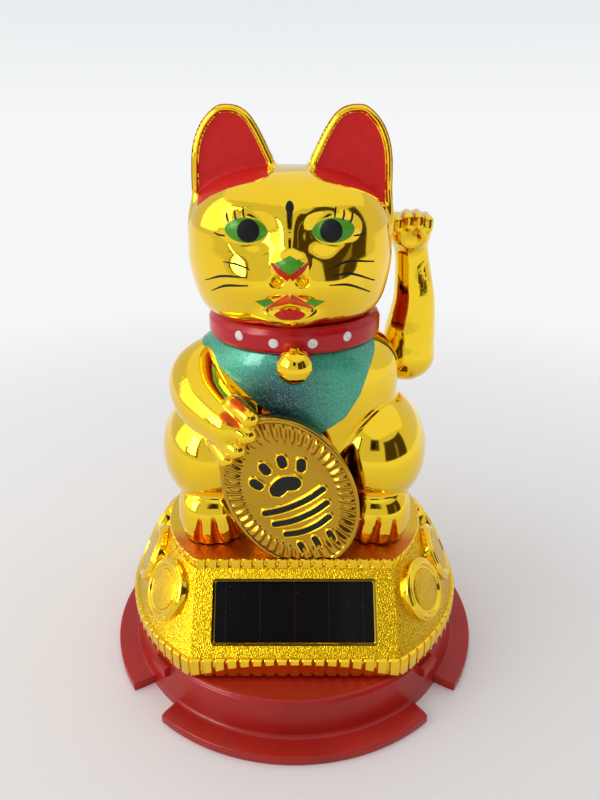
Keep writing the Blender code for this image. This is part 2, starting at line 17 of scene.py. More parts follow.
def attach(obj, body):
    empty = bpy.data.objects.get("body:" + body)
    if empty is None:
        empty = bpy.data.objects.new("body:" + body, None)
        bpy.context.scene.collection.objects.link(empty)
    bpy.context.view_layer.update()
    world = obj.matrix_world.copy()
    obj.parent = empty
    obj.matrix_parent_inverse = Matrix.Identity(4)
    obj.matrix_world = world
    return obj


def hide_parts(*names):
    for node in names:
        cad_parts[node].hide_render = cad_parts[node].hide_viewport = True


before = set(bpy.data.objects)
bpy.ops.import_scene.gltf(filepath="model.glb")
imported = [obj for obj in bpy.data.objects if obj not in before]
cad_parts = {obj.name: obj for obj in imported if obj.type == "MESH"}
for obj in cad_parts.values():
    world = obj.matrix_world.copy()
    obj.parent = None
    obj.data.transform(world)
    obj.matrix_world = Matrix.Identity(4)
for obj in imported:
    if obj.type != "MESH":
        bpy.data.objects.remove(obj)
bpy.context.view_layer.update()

MM = 0.001
SEAM = 0.04               # half of the visible parting gap between two shell halves
WALL = 1.3

# ---------------------------------------------------------------- sizes

PIVOT_Y, PIVOT_Z = 9.3, 63.4
FEET_Z = 31.0
BODY_SPLIT, HEAD_SPLIT, WAVE_SPLIT = 3.0, -1.5, 9.2
NECK_TOP, NECK_R, NECK_BORE = 76.6, 14.4, 8.0
COLLAR_Y, COLLAR_R, COLLAR_LOW, COLLAR_HIGH = 1.2, 17.3, 73.2, 78.0
BELL_Y, BELL_Z, BELL_R = -19.0, 72.1, 3.3
COIN = np.array([-0.7, -18.1, 45.4])
COIN_A, COIN_B, COIN_HALF, COIN_TILT = 12.45, 17.6, 1.1, 26.0
FACE_X = -0.8             # the face's own centre line
HEAD_SHIFT = 0.45         # how far the ears sit toward -X

# height, centre y, half-width, half-depth of the torso
TORSO = np.array([
    (26.0, 6.0, 18.0, 17.0), (36.0, 6.0, 20.6, 18.6), (45.0, 5.6, 22.0, 19.4),
    (55.0, 4.5, 22.0, 19.4), (62.0, 3.3, 21.4, 19.2), (68.0, 2.2, 20.0, 18.0),
    (71.0, 1.6, 18.3, 17.0), (72.9, 1.2, 16.4, 16.2), (76.0, 0.9, 13.0, 13.6)])
HOLD_ARM = [(-14.5, 1.5, 66.0, 6.6), (-18.7, -4.6, 64.7, 6.4), (-17.9, -10.8, 62.4, 5.7),
            (-14.8, -15.3, 60.8, 4.9), (-12.2, -18.2, 60.1, 4.1)]
FOREARM = [(24.9, 9.3, 65.0, 5.4), (25.2, 9.3, 69.0, 5.5), (25.5, 9.3, 73.0, 5.0),
           (25.6, 9.1, 78.0, 4.3), (24.6, 8.9, 86.0, 3.5), (23.9, 8.5, 90.0, 3.6)]
# knuckle and tip of each finger that rests on the coin, with their radii
FINGERS = [((-11.2, -18.2, 64.3, 1.9), (-8.2, -20.9, 62.7, 1.9)),
           ((-13.2, -18.9, 61.7, 2.0), (-8.6, -21.5, 59.7, 1.9)),
           ((-14.6, -18.3, 58.7, 2.0), (-10.6, -21.3, 56.5, 1.8)),
           ((-15.2, -16.8, 56.2, 1.8), (-12.8, -20.2, 54.0, 1.5))]
# x and z of the toe grooves, top then bottom
TOE_GROOVES = [((-19.3, 37.6), (-19.9, 31.6)), ((-16.5, 38.0), (-16.0, 31.4)),
               ((-13.3, 38.0), (-12.4, 31.4)), ((13.7, 37.4), (12.7, 31.2)),
               ((17.2, 38.0), (16.3, 31.2)), ((20.4, 37.4), (20.3, 31.4))]
BIB = [(-22.0, 74.0), (-17.6, 71.0), (-15.1, 69.0), (-10.9, 66.1), (-6.9, 62.8), (-2.5, 60.2), (3.0, 57.2),
       (5.4, 56.8), (9.8, 59.4), (12.7, 63.7), (14.4, 68.1), (15.8, 71.0), (16.0, 80.0), (-22.0, 80.0)]
EAR = [(18.2, 93.0), (18.2, 101.0), (17.8, 107.6), (16.2, 111.9), (13.6, 114.6), (11.6, 115.15),
       (9.3, 114.8), (7.4, 113.5), (5.7, 111.0), (4.2, 108.0), (3.0, 105.0), (2.6, 99.0), (8.0, 93.0)]
EAR_FRONT, EAR_RIM, EAR_DISH = -5.4, 1.15, 0.8
RED_LINE = [(0.0, 105.5), (4.0, 103.6), (7.7, 102.6), (11.2, 101.6), (14.3, 100.3), (17.5, 98.0)]


# ---------------------------------------------------------------- distance fields

def blob(p, centre, radii, plan=2.0, rise=None):
    """About the distance to an ellipsoid; larger powers square it in plan and in height."""
    rise = rise or plan
    q = np.maximum(np.abs(p - np.array(centre)) / np.array(radii), 1e-5)
    s = (q[:, 0] ** plan + q[:, 1] ** plan) ** (1 / plan)
    k = (s ** rise + q[:, 2] ** rise) ** (1 / rise)
    flat = np.hypot(q[:, 0] ** (plan - 1) / radii[0], q[:, 1] ** (plan - 1) / radii[1]) * s ** (1 - plan)
    slope = np.hypot(flat * s ** (rise - 1), q[:, 2] ** (rise - 1) / radii[2]) * k ** (1 - rise)
    return (k - 1) / np.maximum(slope, 1e-4)


def join(a, b, k):
    """Union with a fillet of about k."""
    h = np.clip(0.5 + 0.5 * (b - a) / k, 0, 1)
    return b + (a - b) * h - k * h * (1 - h)


def both(a, b, k):
    """Intersection with an edge rounded by about k."""
    return -join(-a, -b, k)


def cut(a, b, k):
    """a without b."""
    return -join(-a, b, k)


def spline(points, steps=9):
    """Dense smooth path through rows of numbers."""
    rows = np.array(points, float)
    rows = np.vstack([2 * rows[0] - rows[1], rows, 2 * rows[-1] - rows[-2]])
    made = []
    for a, b, c, d in zip(rows, rows[1:], rows[2:], rows[3:]):
        for t in np.arange(steps) / steps:
            made.append(0.5 * (2 * b + (c - a) * t + (2 * a - 5 * b + 4 * c - d) * t ** 2
                               + (3 * b - a - 3 * c + d) * t ** 3))
    return np.array(made + [rows[-2]])


def tube(p, path):
    """Distance to a round-ended tube along rows of x, y, z, radius."""
    path = np.array(path, float)
    low, high = (path[:, :3].T - path[:, 3]).min(1) - 3, (path[:, :3].T + path[:, 3]).max(1) + 3
    made = np.maximum(low - p, p - high).max(1) + 3
    near = np.flatnonzero(made < 3)
    q = p[near]
    best = np.full(len(q), 1e3)
    for a, b in zip(path, path[1:]):
        axis = b[:3] - a[:3]
        t = np.clip((q - a[:3]) @ axis / (axis @ axis), 0, 1)
        reach = q - a[:3] - t[:, None] * axis
        best = np.minimum(best, np.sqrt((reach * reach).sum(1)) - a[3] - (b[3] - a[3]) * t)
    made[near] = best
    return made


def outline_distance(x, z, ring):
    """Signed distance, negative inside, from points to a closed outline."""
    best, inside = np.full(len(x), 1e9), np.zeros(len(x), bool)
    for (ax, az), (bx, bz) in zip(ring, np.roll(ring, -1, axis=0)):
        ex, ez = bx - ax, bz - az
        t = np.clip(((x - ax) * ex + (z - az) * ez) / (ex * ex + ez * ez + 1e-12), 0, 1)
        best = np.minimum(best, (x - ax - t * ex) ** 2 + (z - az - t * ez) ** 2)
        if az != bz:
            inside ^= ((az > z) != (bz > z)) & (x < ex * (z - az) / ez + ax)
    return np.where(inside, -1, 1) * np.sqrt(best)


def closed_curve(points, steps=6):
    """Smooth closed outline through points."""
    return spline(points[-1:] + points + points[:1], steps)[steps:-steps - 1]


def smooth_table(table, step=0.25, spread=2.2):
    """The rows of a table resampled evenly and softened, so that no kink shows."""
    at = np.arange(table[0, 0], table[-1, 0] + step, step)
    reach = int(4 * spread / step)
    kernel = np.exp(-0.5 * (np.arange(-reach, reach + 1) * step / spread) ** 2)
    columns = [at]
    for column in table.T[1:]:
        line = np.interp(at, table[:, 0], column)
        before = line[0] - (line[1] - line[0]) * np.arange(reach, 0, -1)
        after = line[-1] + (line[-1] - line[-2]) * np.arange(1, reach + 1)
        columns.append(np.convolve(np.concatenate([before, line, after]), kernel / kernel.sum(), "valid"))
    return columns


TORSO_TABLE = smooth_table(TORSO)
EAR_RING = closed_curve(EAR)
HOLD_PATH = spline(HOLD_ARM, 16)
FOREARM_PATH = spline(FOREARM, 24)
COIN_TURN = np.array(Matrix.Rotation(math.radians(-COIN_TILT), 3, "Y") @ Matrix.Rotation(math.pi / 2, 3, "X"))


def mirrored(point, side):
    return (side * point[0], *point[1:])


def torso_field(p):
    at, cy, rx, ry = TORSO_TABLE
    z = p[:, 2]
    rx, ry = np.interp(z, at, rx), np.interp(z, at, ry)
    k = np.hypot(p[:, 0] / rx, (p[:, 1] - np.interp(z, at, cy)) / ry)
    made = both((k - 1) * np.minimum(rx, ry), z - 72.9, 0.5)
    neck = both(np.hypot(p[:, 0], p[:, 1] - COLLAR_Y) - NECK_R, np.abs(z - 72) - (NECK_TOP - 72), 0.3)
    return np.minimum(made, neck)


def foot_field(p):
    made = np.full(len(p), 1e3)
    for side in (-1, 1):
        made = np.minimum(made, blob(p, (side * 17.2, -6.4, 36.0), (7.6, 9.9, 7.6), 2.6))
    return made


def coin_field(p, grow):
    """Slab of the coin, in which local z runs out of its front face."""
    q = (p - COIN) @ COIN_TURN
    k = np.hypot(q[:, 0] / (COIN_A + grow), q[:, 1] / (COIN_B + grow))
    return np.maximum((k - 1) * COIN_A, np.abs(q[:, 2] - 0.2) - COIN_HALF - 0.2 - grow)


def groove_paths():
    """The toe grooves laid on the front of the feet."""
    paths = []
    for top, bottom in TOE_GROOVES:
        ends = land(foot_field, np.array([top, bottom]))
        paths.append([(*ends[0], 0.25), (*(ends[1] - (0, 0.2, 0)), 1.15)])
    return paths


def land(field, spots, start=-34.0, rounds=70):
    """Where lines along +Y from the front first meet a field, for rows of x, z."""
    p = np.column_stack([spots[:, 0], np.full(len(spots), start), spots[:, 1]])
    for _ in range(rounds):
        p[:, 1] += np.clip(field(p), -1.5, 1.5) * 0.7
    return p


def body_field(p):
    made = torso_field(p)
    for side in (-1, 1):
        made = join(made, blob(p, (side * 13.0, 1.0, 65.3), (8.6, 9.0, 7.8)), 2.5)
        made = join(made, blob(p, (side * 16.5, 0.0, 47.8), (11.9, 15.6, 12.6), 2.1), 0.9)
        made = join(made, blob(p, (side * 17.2, -6.4, 36.0), (7.6, 9.9, 7.6), 2.6), 0.7)
    made = join(made, blob(p, (15.4, 1.5, 61.5), (6.3, 9.6, 7.5)), 0.8)
    made = join(made, tube(p, TAIL_PATH), 1.6)
    made = join(made, tube(p, HOLD_PATH), 0.5)
    paw = np.full(len(p), 1e3)
    for finger in FINGERS:
        paw = join(paw, tube(p, finger), 0.2)
    made = join(made, paw, 0.5)
    for path in GROOVES:
        made = cut(made, tube(p, path), 0.5)
    return cut(made, coin_field(p, 0.22), 0.12)


TAIL_PATH = spline([(0.0, 22.0, 33.5, 3.4), (5.5, 25.2, 36.0, 3.0), (9.5, 23.8, 41.0, 2.8), (10.0, 21.8, 45.5, 2.2)])
GROOVES = groove_paths()


def ear_field(p):
    """Both ears: a rounded upright slab with a dished front."""
    made = np.maximum(92 - p[:, 2], np.abs(p[:, 1] + 2) - 12) + 9
    near = np.flatnonzero(made < 9)
    x, y, z = np.abs(p[near, 0] + HEAD_SHIFT), p[near, 1], p[near, 2]
    side = outline_distance(x, z, EAR_RING)
    front = EAR_FRONT + 0.03 * (z - 100)
    back = 2.4 - 0.25 * (z - 98)
    made[near] = cut(both(side, np.maximum(front - y, y - back), 1.5),
                     np.maximum(side + EAR_RIM, y - front - EAR_DISH), 0.5)
    return made


def head_field(p):
    made = blob(p, (-0.95, -0.8, 91.6), (19.2, 15.6, 13.4), 2.3, 2.6)
    made = join(made, blob(p, (-0.65, 0.0, 85.6), (18.4, 17.0, 9.6), 2.2, 3.2), 3.0)
    made = both(made, 77.0 - p[:, 2], 0.8)
    for side in (-1, 1):
        made = join(made, blob(p, (side * 4.9 + FACE_X, -11.2, 86.2), (7.0, 6.2, 4.9)), 2.2)
    made = join(made, blob(p, (FACE_X, -13.5, 80.9), (6.8, 4.7, 3.0)), 0.9)
    for side in (-1, 1):
        socket = blob(p, (side * 7.25 + FACE_X, -20.3, 95.7), (7.4, 6.2, 5.5))
        made = cut(made, socket, 1.0)
        made = join(made, blob(p, (side * 7.45 + FACE_X, -12.3, 95.3), (4.5, 3.4, 3.1)), 0.8)
    made = join(made, tube(p, NOSE_PATH), 1.5)
    made = join(made, blob(p, (FACE_X, -15.8, 89.9), (3.2, 3.4, 2.3)), 1.0)
    for side in (-1, 1):
        made = cut(made, blob(p, (side * 2.15 + FACE_X, -18.2, 87.0), (1.1, 1.9, 0.9)), 0.6)
    made = cut(made, blob(p, (FACE_X, -19.5, 82.7), (7.2, 3.3, 2.5)), 0.5)
    for side in (-1, 1):
        lip = [(FACE_X, -16.6, 83.9, 0.75), (side * 4.4 + FACE_X, -15.7, 82.4, 0.6)]
        made = join(made, tube(p, lip), 0.5)
    made = join(made, blob(p, (FACE_X, -15.8, 81.1), (3.3, 1.6, 1.0)), 0.5)
    made = join(made, ear_field(p), 1.0)
    neck = both(np.hypot(p[:, 0], p[:, 1] - COLLAR_Y) - 7.7, np.abs(p[:, 2] - 77) - 6, 0.3)
    return np.minimum(made, neck)


NOSE_PATH = spline([(FACE_X, -10.4, 99.5, 2.6), (FACE_X, -13.5, 96.0, 2.3), (FACE_X, -15.2, 93.0, 1.9),
                    (FACE_X, -16.2, 90.5, 2.0)])
# knuckle centres of the raised paw
KNUCKLES = [(20.5, 3.9, 94.0), (22.5, 3.3, 94.6), (24.5, 3.4, 94.6), (26.4, 4.1, 94.0)]


def arm_field(p):
    made = tube(p, FOREARM_PATH)
    made = join(made, blob(p, (25.0, 9.3, 64.6), (5.9, 5.8, 5.3)), 1.5)
    root = both(np.hypot(p[:, 1] - PIVOT_Y, p[:, 2] - PIVOT_Z - 0.8) - 5.0, np.abs(p[:, 0] - 24.0) - 2.2, 0.5)
    made = join(made, root, 0.8)
    made = join(made, blob(p, (23.5, 7.5, 92.0), (4.2, 4.8, 3.8), 2.4), 1.2)
    made = cut(made, blob(p, (23.5, 1.0, 90.0), (2.9, 3.2, 3.0)), 0.8)
    for x, y, z in KNUCKLES:
        made = join(made, tube(p, [(x, y, z - 1.2, 1.05), (x, y + 0.3, z, 1.2), (x, y + 3.8, z + 0.5, 1.1)]), 0.3)
    return made


def gradient(field, p, h=0.02):
    made = np.empty_like(p)
    for axis in range(3):
        step = np.zeros(3)
        step[axis] = h
        made[:, axis] = (field(p + step) - field(p - step)) / (2 * h)
    return made


def settle(field, p, rounds=2):
    """Pull points exactly onto the field's surface."""
    for _ in range(rounds):
        g = gradient(field, p)
        pull = field(p) / np.maximum((g * g).sum(1), 0.05)
        p = p - np.clip(pull, -0.4, 0.4)[:, None] * g
    return p


# ---------------------------------------------------------------- meshes

def contour(field, low, high, step):
    """Quad mesh of a field's surface inside a box."""
    block = 4
    counts = [block * math.ceil((b - a) / step / block) for a, b in zip(low, high)]
    low = np.array(low, float)
    coarse = np.stack(np.meshgrid(*[np.arange(n // block) for n in counts], indexing="ij"), -1).reshape(-1, 3)
    value = field(low + (coarse * block + (block - 1) / 2) * step)
    near = np.abs(value) < block * step * 1.5
    grid = np.repeat(value, 1).reshape([n // block for n in counts])
    for axis in range(3):
        grid = np.repeat(grid, block, axis)
    offsets = np.stack(np.meshgrid(*[np.arange(block)] * 3, indexing="ij"), -1).reshape(-1, 3)
    fine = (coarse[near][:, None] * block + offsets).reshape(-1, 3)
    for part in np.array_split(fine, max(1, len(fine) // 200000)):
        grid[tuple(part.T)] = field(low + part * step)
    volume = openvdb.FloatGrid(9.0)
    volume.copyFromArray(np.ascontiguousarray(grid, np.float32))
    points, quads = volume.convertToQuads(0.0)
    points = low + points.astype(float) * step
    quads = quads.astype(int)
    return relax(field, settle(field, points), quads)


def relax(field, points, quads, rounds=2):
    """Even out the quads, sliding along the surface."""
    edges = np.vstack([quads[:, [0, 1]], quads[:, [1, 2]], quads[:, [2, 3]], quads[:, [3, 0]]])
    share = np.bincount(edges[:, 0], minlength=len(points))[:, None]
    for _ in range(rounds):
        total = np.column_stack([np.bincount(edges[:, 0], points[edges[:, 1], k], len(points)) for k in range(3)])
        points = settle(field, points + 0.5 * (total / np.maximum(share, 1) - points), 1)
    return settle(field, points, 1), quads


def clipped(points, faces, planes):
    """Keep the side of each plane (point, outward normal) that its normal points away from."""
    bm = bmesh.new()
    verts = [bm.verts.new(v) for v in points]
    for face in faces:
        bm.faces.new([verts[i] for i in face])
    for place, normal in planes:
        geometry = bm.verts[:] + bm.edges[:] + bm.faces[:]
        bmesh.ops.bisect_plane(bm, geom=geometry, plane_co=place, plane_no=normal, clear_outer=True, dist=1e-4)
    bmesh.ops.triangulate(bm, faces=[f for f in bm.faces if len(f.verts) > 4])
    bm.verts.index_update()
    kept = np.array([v.co[:] for v in bm.verts])
    rings = [[v.index for v in f.verts] for f in bm.faces]
    bm.free()
    return kept, rings


def punched(points, faces, holes):
    """Open round holes: (axis number, centre, radius, least x) for a way along X or Z."""
    points = points.copy()
    for axis, centre, radius, beyond in holes:
        flat = [k for k in range(3) if k != axis]
        reach = points[:, flat] - centre
        far = np.hypot(*reach.T)
        edge = (np.abs(far - radius) < 0.3) & (points[:, axis] > beyond)
        points[np.ix_(edge, flat)] = centre + reach[edge] / far[edge][:, None] * radius
        gone = (far < radius + 0.02) & (points[:, axis] > beyond)
        faces = [f for f in faces if not all(gone[i] or edge[i] for i in f)]
    return points, faces


def shelled(name, field, points, faces, wall=WALL):
    """Closed thin-walled piece from an open outer surface, with the field's own normals."""
    used = sorted({i for f in faces for i in f})
    number = {old: new for new, old in enumerate(used)}
    points = points[used]
    faces = [[number[i] for i in f] for f in faces]
    normals = gradient(field, points)
    normals /= np.linalg.norm(normals, axis=1)[:, None]
    count = len(points)
    seen = {}
    for f in faces:
        for a, b in zip(f, f[1:] + f[:1]):
            seen[a, b] = True
    border = [(a, b) for a, b in seen if (b, a) not in seen]
    inner = [[i + count for i in f[::-1]] for f in faces]
    rim = [[b, a, a + count, b + count] for a, b in border]
    mesh = bpy.data.meshes.new(name)
    everything = np.vstack([points, points - normals * wall]) * MM
    mesh.from_pydata(everything.tolist(), [], faces + inner + rim)
    flat = np.zeros(len(mesh.polygons) * 3)
    mesh.polygons.foreach_get("normal", flat)
    flat = flat.reshape(-1, 3)
    loops = [normals[i] for f in faces for i in f] + [-normals[i - count] for f in inner for i in f]
    start = len(faces) + len(inner)
    loops += [flat[start + i] for i, f in enumerate(rim) for _ in f]
    mesh.polygons.foreach_set("use_smooth", np.ones(len(mesh.polygons), bool))
    mesh.normals_split_custom_set(np.array(loops).tolist())
    return linked(name, mesh), points


def linked(name, mesh):
    made = bpy.data.objects.new(name, mesh)
    bpy.context.scene.collection.objects.link(made)
    return made


def mask(piece, name, values):
    """Store a signed distance to a painted area; the inner skin gets the same values."""
    attribute = piece.data.attributes.new(name, "FLOAT", "POINT")
    count = len(piece.data.vertices)
    attribute.data.foreach_set("value", np.resize(values, count).astype(np.float32))


def place(piece, body, slot, *materials, nodes=()):
    """Give a piece its materials, its body and the CAD nodes that it stands for."""
    for made in materials:
        piece.data.materials.append(made)
    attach(piece, body)
    if nodes:
        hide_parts(*nodes)
    return piece


def filleted(corners, steps=4):
    """Outline of (r, z, fillet radius) corners with their roundings worked out as arcs."""
    made = []
    points = [Vector(c[:2]) for c in corners]
    for i, (r, z, radius) in enumerate(corners):
        here, before, after = points[i], points[i - 1], points[(i + 1) % len(points)]
        if radius <= 0:
            made.append((r, z))
            continue
        u, v = (before - here).normalized(), (after - here).normalized()
        half = math.acos(max(-1, min(1, u.dot(v)))) / 2
        back = min(radius / math.tan(half), 0.49 * (before - here).length, 0.49 * (after - here).length)
        start, end = here + u * back, here + v * back
        for k in range(steps + 1):
            t = k / steps
            made.append(tuple(start * (1 - t) ** 2 + here * 2 * t * (1 - t) + end * t ** 2))
    return made


def ring_mesh(name, rows, caps=False, sharp=38):
    """Mesh through closed rows of points; with caps its ends are flat faces, without them it is a ring."""
    bm = bmesh.new()
    verts = [[bm.verts.new(np.array(p) * MM) for p in row] for row in rows]
    pairs = list(zip(verts, verts[1:])) + ([] if caps else [(verts[-1], verts[0])])
    for low, high in pairs:
        for i in range(len(low)):
            j = (i + 1) % len(low)
            bm.faces.new((low[i], low[j], high[j], high[i]))
    if caps:
        bm.faces.new(verts[0][::-1])
        bm.faces.new(verts[-1])
    bmesh.ops.remove_doubles(bm, verts=bm.verts, dist=1e-6)
    bmesh.ops.recalc_face_normals(bm, faces=bm.faces)
    return finished(name, bm, sharp)


def finished(name, bm, sharp=38):
    mesh = bpy.data.meshes.new(name)
    bm.to_mesh(mesh)
    bm.free()
    mesh.shade_smooth()
    mesh.set_sharp_from_angle(angle=math.radians(sharp))
    return linked(name, mesh)


def lathe_rows(profile, count, matrix=None):
    """Rows of a turned shape about local Z."""
    angles = 2 * np.pi * np.arange(count) / count
    rows = [np.column_stack([r * np.cos(angles), r * np.sin(angles), np.full(count, z)]) for r, z in profile]
    if matrix is None:
        return rows
    turn, shift = np.array(matrix.to_3x3()), np.array(matrix.translation)
    return [row @ turn.T + shift for row in rows]


# ---------------------------------------------------------------- materials

def shader(name, colour, roughness, metallic=0.0, **extra):
    made = bpy.data.materials.new(name)
    made.use_nodes = True
    node = made.node_tree.nodes["Principled BSDF"]
    node.inputs["Base Color"].default_value = (*colour, 1)
    node.inputs["Roughness"].default_value = roughness
    node.inputs["Metallic"].default_value = metallic
    for key, value in extra.items():
        node.inputs[key.replace("_", " ")].default_value = value
    return made, made.node_tree, node


def add_node(tree, kind, **values):
    node = tree.nodes.new(kind)
    for key, value in values.items():
        if hasattr(node, key):
            setattr(node, key, value)
        else:
            node.inputs[key.replace("_", " ")].default_value = value
    return node


def noise(tree, scale, detail=2.0, stretch=(1, 1, 1)):
    """Noise in object space; scale is per metre."""
    place_node = add_node(tree, "ShaderNodeTexCoord")
    mapping = add_node(tree, "ShaderNodeMapping")
    mapping.inputs["Scale"].default_value = stretch
    made = add_node(tree, "ShaderNodeTexNoise", Scale=scale, Detail=detail)
    tree.links.new(place_node.outputs["Object"], mapping.inputs["Vector"])
    tree.links.new(mapping.outputs["Vector"], made.inputs["Vector"])
    return made.outputs["Fac"]


def ramp(tree, source, low, high):
    """0 to 1 between two values of a signal."""
    made = add_node(tree, "ShaderNodeMapRange")
    made.inputs["From Min"].default_value = low
    made.inputs["From Max"].default_value = high
    tree.links.new(source, made.inputs["Value"])
    return made.outputs["Result"]


def bump(tree, node, height, distance, strength=1.0):
    made = add_node(tree, "ShaderNodeBump", Strength=strength, Distance=distance)
    tree.links.new(height, made.inputs["Height"])
    tree.links.new(made.outputs["Normal"], node.inputs["Normal"])
    return made


def blend_colour(tree, node, factor, second):
    """Mix the shader's colour, or what feeds it, toward a second colour."""
    made = tree.nodes.new("ShaderNodeMix")
    made.data_type = "RGBA"
    socket = node.inputs["Base Color"]
    if socket.is_linked:
        tree.links.new(socket.links[0].from_socket, made.inputs["A"])
    else:
        made.inputs["A"].default_value = socket.default_value
    made.inputs["B"].default_value = (*second, 1)
    tree.links.new(factor, made.inputs["Factor"])
    tree.links.new(made.outputs["Result"], socket)


GOLD = (0.95, 0.65, 0.014)
GOLD_WORN = (0.90, 0.57, 0.011)
# darker gold for the coin: painted shade standing in for the darker surroundings that the coin reflects
SHADED_COIN_GOLD = (0.55, 0.32, 0.010)


def gold_plating(name, roughness=0.07, wave=0.00003, colour=GOLD, worn=GOLD_WORN):
    """Mirror-bright metallised plastic under clear yellow lacquer."""
    made, tree, node = shader(name, colour, roughness, 1.0, Coat_Weight=0.42, Coat_Roughness=0.02)
    blend_colour(tree, node, ramp(tree, noise(tree, 60), 0.35, 0.75), worn)
    tree.links.new(ramp_to(tree, noise(tree, 900, 4), 0.4, 0.8, roughness, roughness + 0.05), node.inputs["Roughness"])
    bump(tree, node, noise(tree, 260, 1), wave)
    return made, tree, node


def ramp_to(tree, source, low, high, first, last):
    made = add_node(tree, "ShaderNodeMapRange")
    for key, value in (("From Min", low), ("From Max", high), ("To Min", first), ("To Max", last)):
        made.inputs[key].default_value = value
    tree.links.new(source, made.inputs["Value"])
    return made.outputs["Result"]


def sand_gold(name, grain=3600.0, depth=0.0002):
    """Gold plating over a sand-textured moulding, with painted shade in the grain's low spots."""
    made, tree, node = shader(name, GOLD_WORN, 0.16, 1.0, Coat_Weight=0.1, Coat_Roughness=0.06)
    height = noise(tree, grain, 1.5)
    bump(tree, node, height, depth)
    # painted shade: the gold is darkened where the sand grain is low
    blend_colour(tree, node, ramp(tree, height, 0.56, 0.3), (0.5, 0.27, 0.006))
    return made, tree, node


def painted(made, tree, node, attribute, paint, edge=0.06):
    """Lay a paint shader over a material where an attribute is negative."""
    place_node = add_node(tree, "ShaderNodeAttribute", attribute_name=attribute)
    factor = ramp(tree, place_node.outputs["Fac"], edge, -edge)
    mix = add_node(tree, "ShaderNodeMixShader")
    output = tree.nodes["Material Output"]
    under = output.inputs["Surface"].links[0].from_socket
    tree.links.new(factor, mix.inputs[0])
    tree.links.new(under, mix.inputs[1])
    tree.links.new(paint(tree), mix.inputs[2])
    tree.links.new(mix.outputs[0], output.inputs["Surface"])


def paint_node(tree, colour, roughness, metallic=0.0, mottling=0.0, coat=0.2):
    node = add_node(tree, "ShaderNodeBsdfPrincipled")
    node.inputs["Base Color"].default_value = (*colour, 1)
    node.inputs["Roughness"].default_value = roughness
    node.inputs["Metallic"].default_value = metallic
    node.inputs["Coat Weight"].default_value = coat
    node.inputs["Specular IOR Level"].default_value = 0.5 if coat else 0.22
    if mottling:
        shade = tuple(c * (1 - mottling) for c in colour)
        blend_colour(tree, node, ramp(tree, noise(tree, 700, 4), 0.35, 0.75), shade)
    return node


def red_enamel(tree):
    node = paint_node(tree, (0.68, 0.015, 0.013), 0.45, mottling=0.15, coat=0.0)
    bump(tree, node, noise(tree, 3000, 3), 0.00002)
    return node.outputs[0]


def orange_wash(tree):
    node = paint_node(tree, (0.74, 0.095, 0.005), 0.36, 0.6, mottling=0.45, coat=0.0)
    return node.outputs[0]


def glitter_teal(tree):
    """Teal glitter that turns darker and bluer in a soft patch under the bell."""
    node = paint_node(tree, (0.055, 0.44, 0.27), 0.42, 0.45, coat=0.5)
    spot = add_node(tree, "ShaderNodeTexCoord")
    reach = add_node(tree, "ShaderNodeVectorMath", operation="DISTANCE")
    reach.inputs[1].default_value = (-0.003, -0.0155, 0.0635)
    tree.links.new(spot.outputs["Object"], reach.inputs[0])
    blend_colour(tree, node, ramp(tree, reach.outputs["Value"], 0.0122, 0.0025), (0.003, 0.035, 0.065))
    grain = add_node(tree, "ShaderNodeTexVoronoi", Scale=6500.0)
    tree.links.new(spot.outputs["Object"], grain.inputs["Vector"])
    flake = add_node(tree, "ShaderNodeSeparateColor")
    tree.links.new(grain.outputs["Color"], flake.inputs["Color"])
    blend_colour(tree, node, ramp(tree, flake.outputs["Red"], 0.7, 1.35), (0.35, 0.85, 0.62))
    blend_colour(tree, node, ramp(tree, flake.outputs["Green"], 0.55, 1.25), (0.004, 0.12, 0.13))
    bump(tree, node, flake.outputs["Blue"], 0.00004)
    return node.outputs[0]


def plastic(name, colour, roughness, mottling=0.12, grain=2500.0, depth=0.00001, **extra):
    """Moulded plastic with faint mottling and a fine surface grain."""
    made, tree, node = shader(name, colour, roughness, **extra)
    shade = tuple(c * (1 - mottling) for c in colour)
    blend_colour(tree, node, ramp(tree, noise(tree, 90, 4), 0.35, 0.7), shade)
    bump(tree, node, noise(tree, grain, 3), depth)
    return made


def metal(name, colour, roughness, grain=1500.0, stretch=(1, 1, 1)):
    made, tree, node = shader(name, colour, roughness, 1.0)
    bump(tree, node, noise(tree, grain, 3, stretch), 0.00001)
    tree.links.new(ramp_to(tree, noise(tree, grain / 2, 3), 0.3, 0.8, roughness, roughness + 0.15), node.inputs["Roughness"])
    return made


def paint_material(name, colour, roughness=0.35, metallic=0.0):
    """Brushed-on enamel, slightly uneven."""
    made, tree, node = shader(name, colour, roughness, metallic, Specular_IOR_Level=0.35)
    shade = tuple(c * 0.72 for c in colour)
    blend_colour(tree, node, ramp(tree, noise(tree, 1500, 4), 0.35, 0.75), shade)
    bump(tree, node, noise(tree, 2600, 3), 0.00003)
    return made


def solar_glass():
    """Dark amorphous cell behind glass, with its faint series stripes."""
    made, tree, node = shader("solar glass", (0.006, 0.005, 0.006), 0.12, Coat_Weight=0.3, Coat_Roughness=0.03)
    place_node = add_node(tree, "ShaderNodeTexCoord")
    split = add_node(tree, "ShaderNodeSeparateXYZ")
    tree.links.new(place_node.outputs["Object"], split.inputs["Vector"])
    wave = add_node(tree, "ShaderNodeMath", operation="PINGPONG")
    wave.inputs[1].default_value = 0.0035
    tree.links.new(split.outputs["X"], wave.inputs[0])
    blend_colour(tree, node, ramp(tree, wave.outputs[0], 0.00012, 0.0), (0.025, 0.02, 0.018))
    blend_colour(tree, node, ramp(tree, noise(tree, 1400, 2), 0.72, 0.8), (0.05, 0.045, 0.04))
    return made


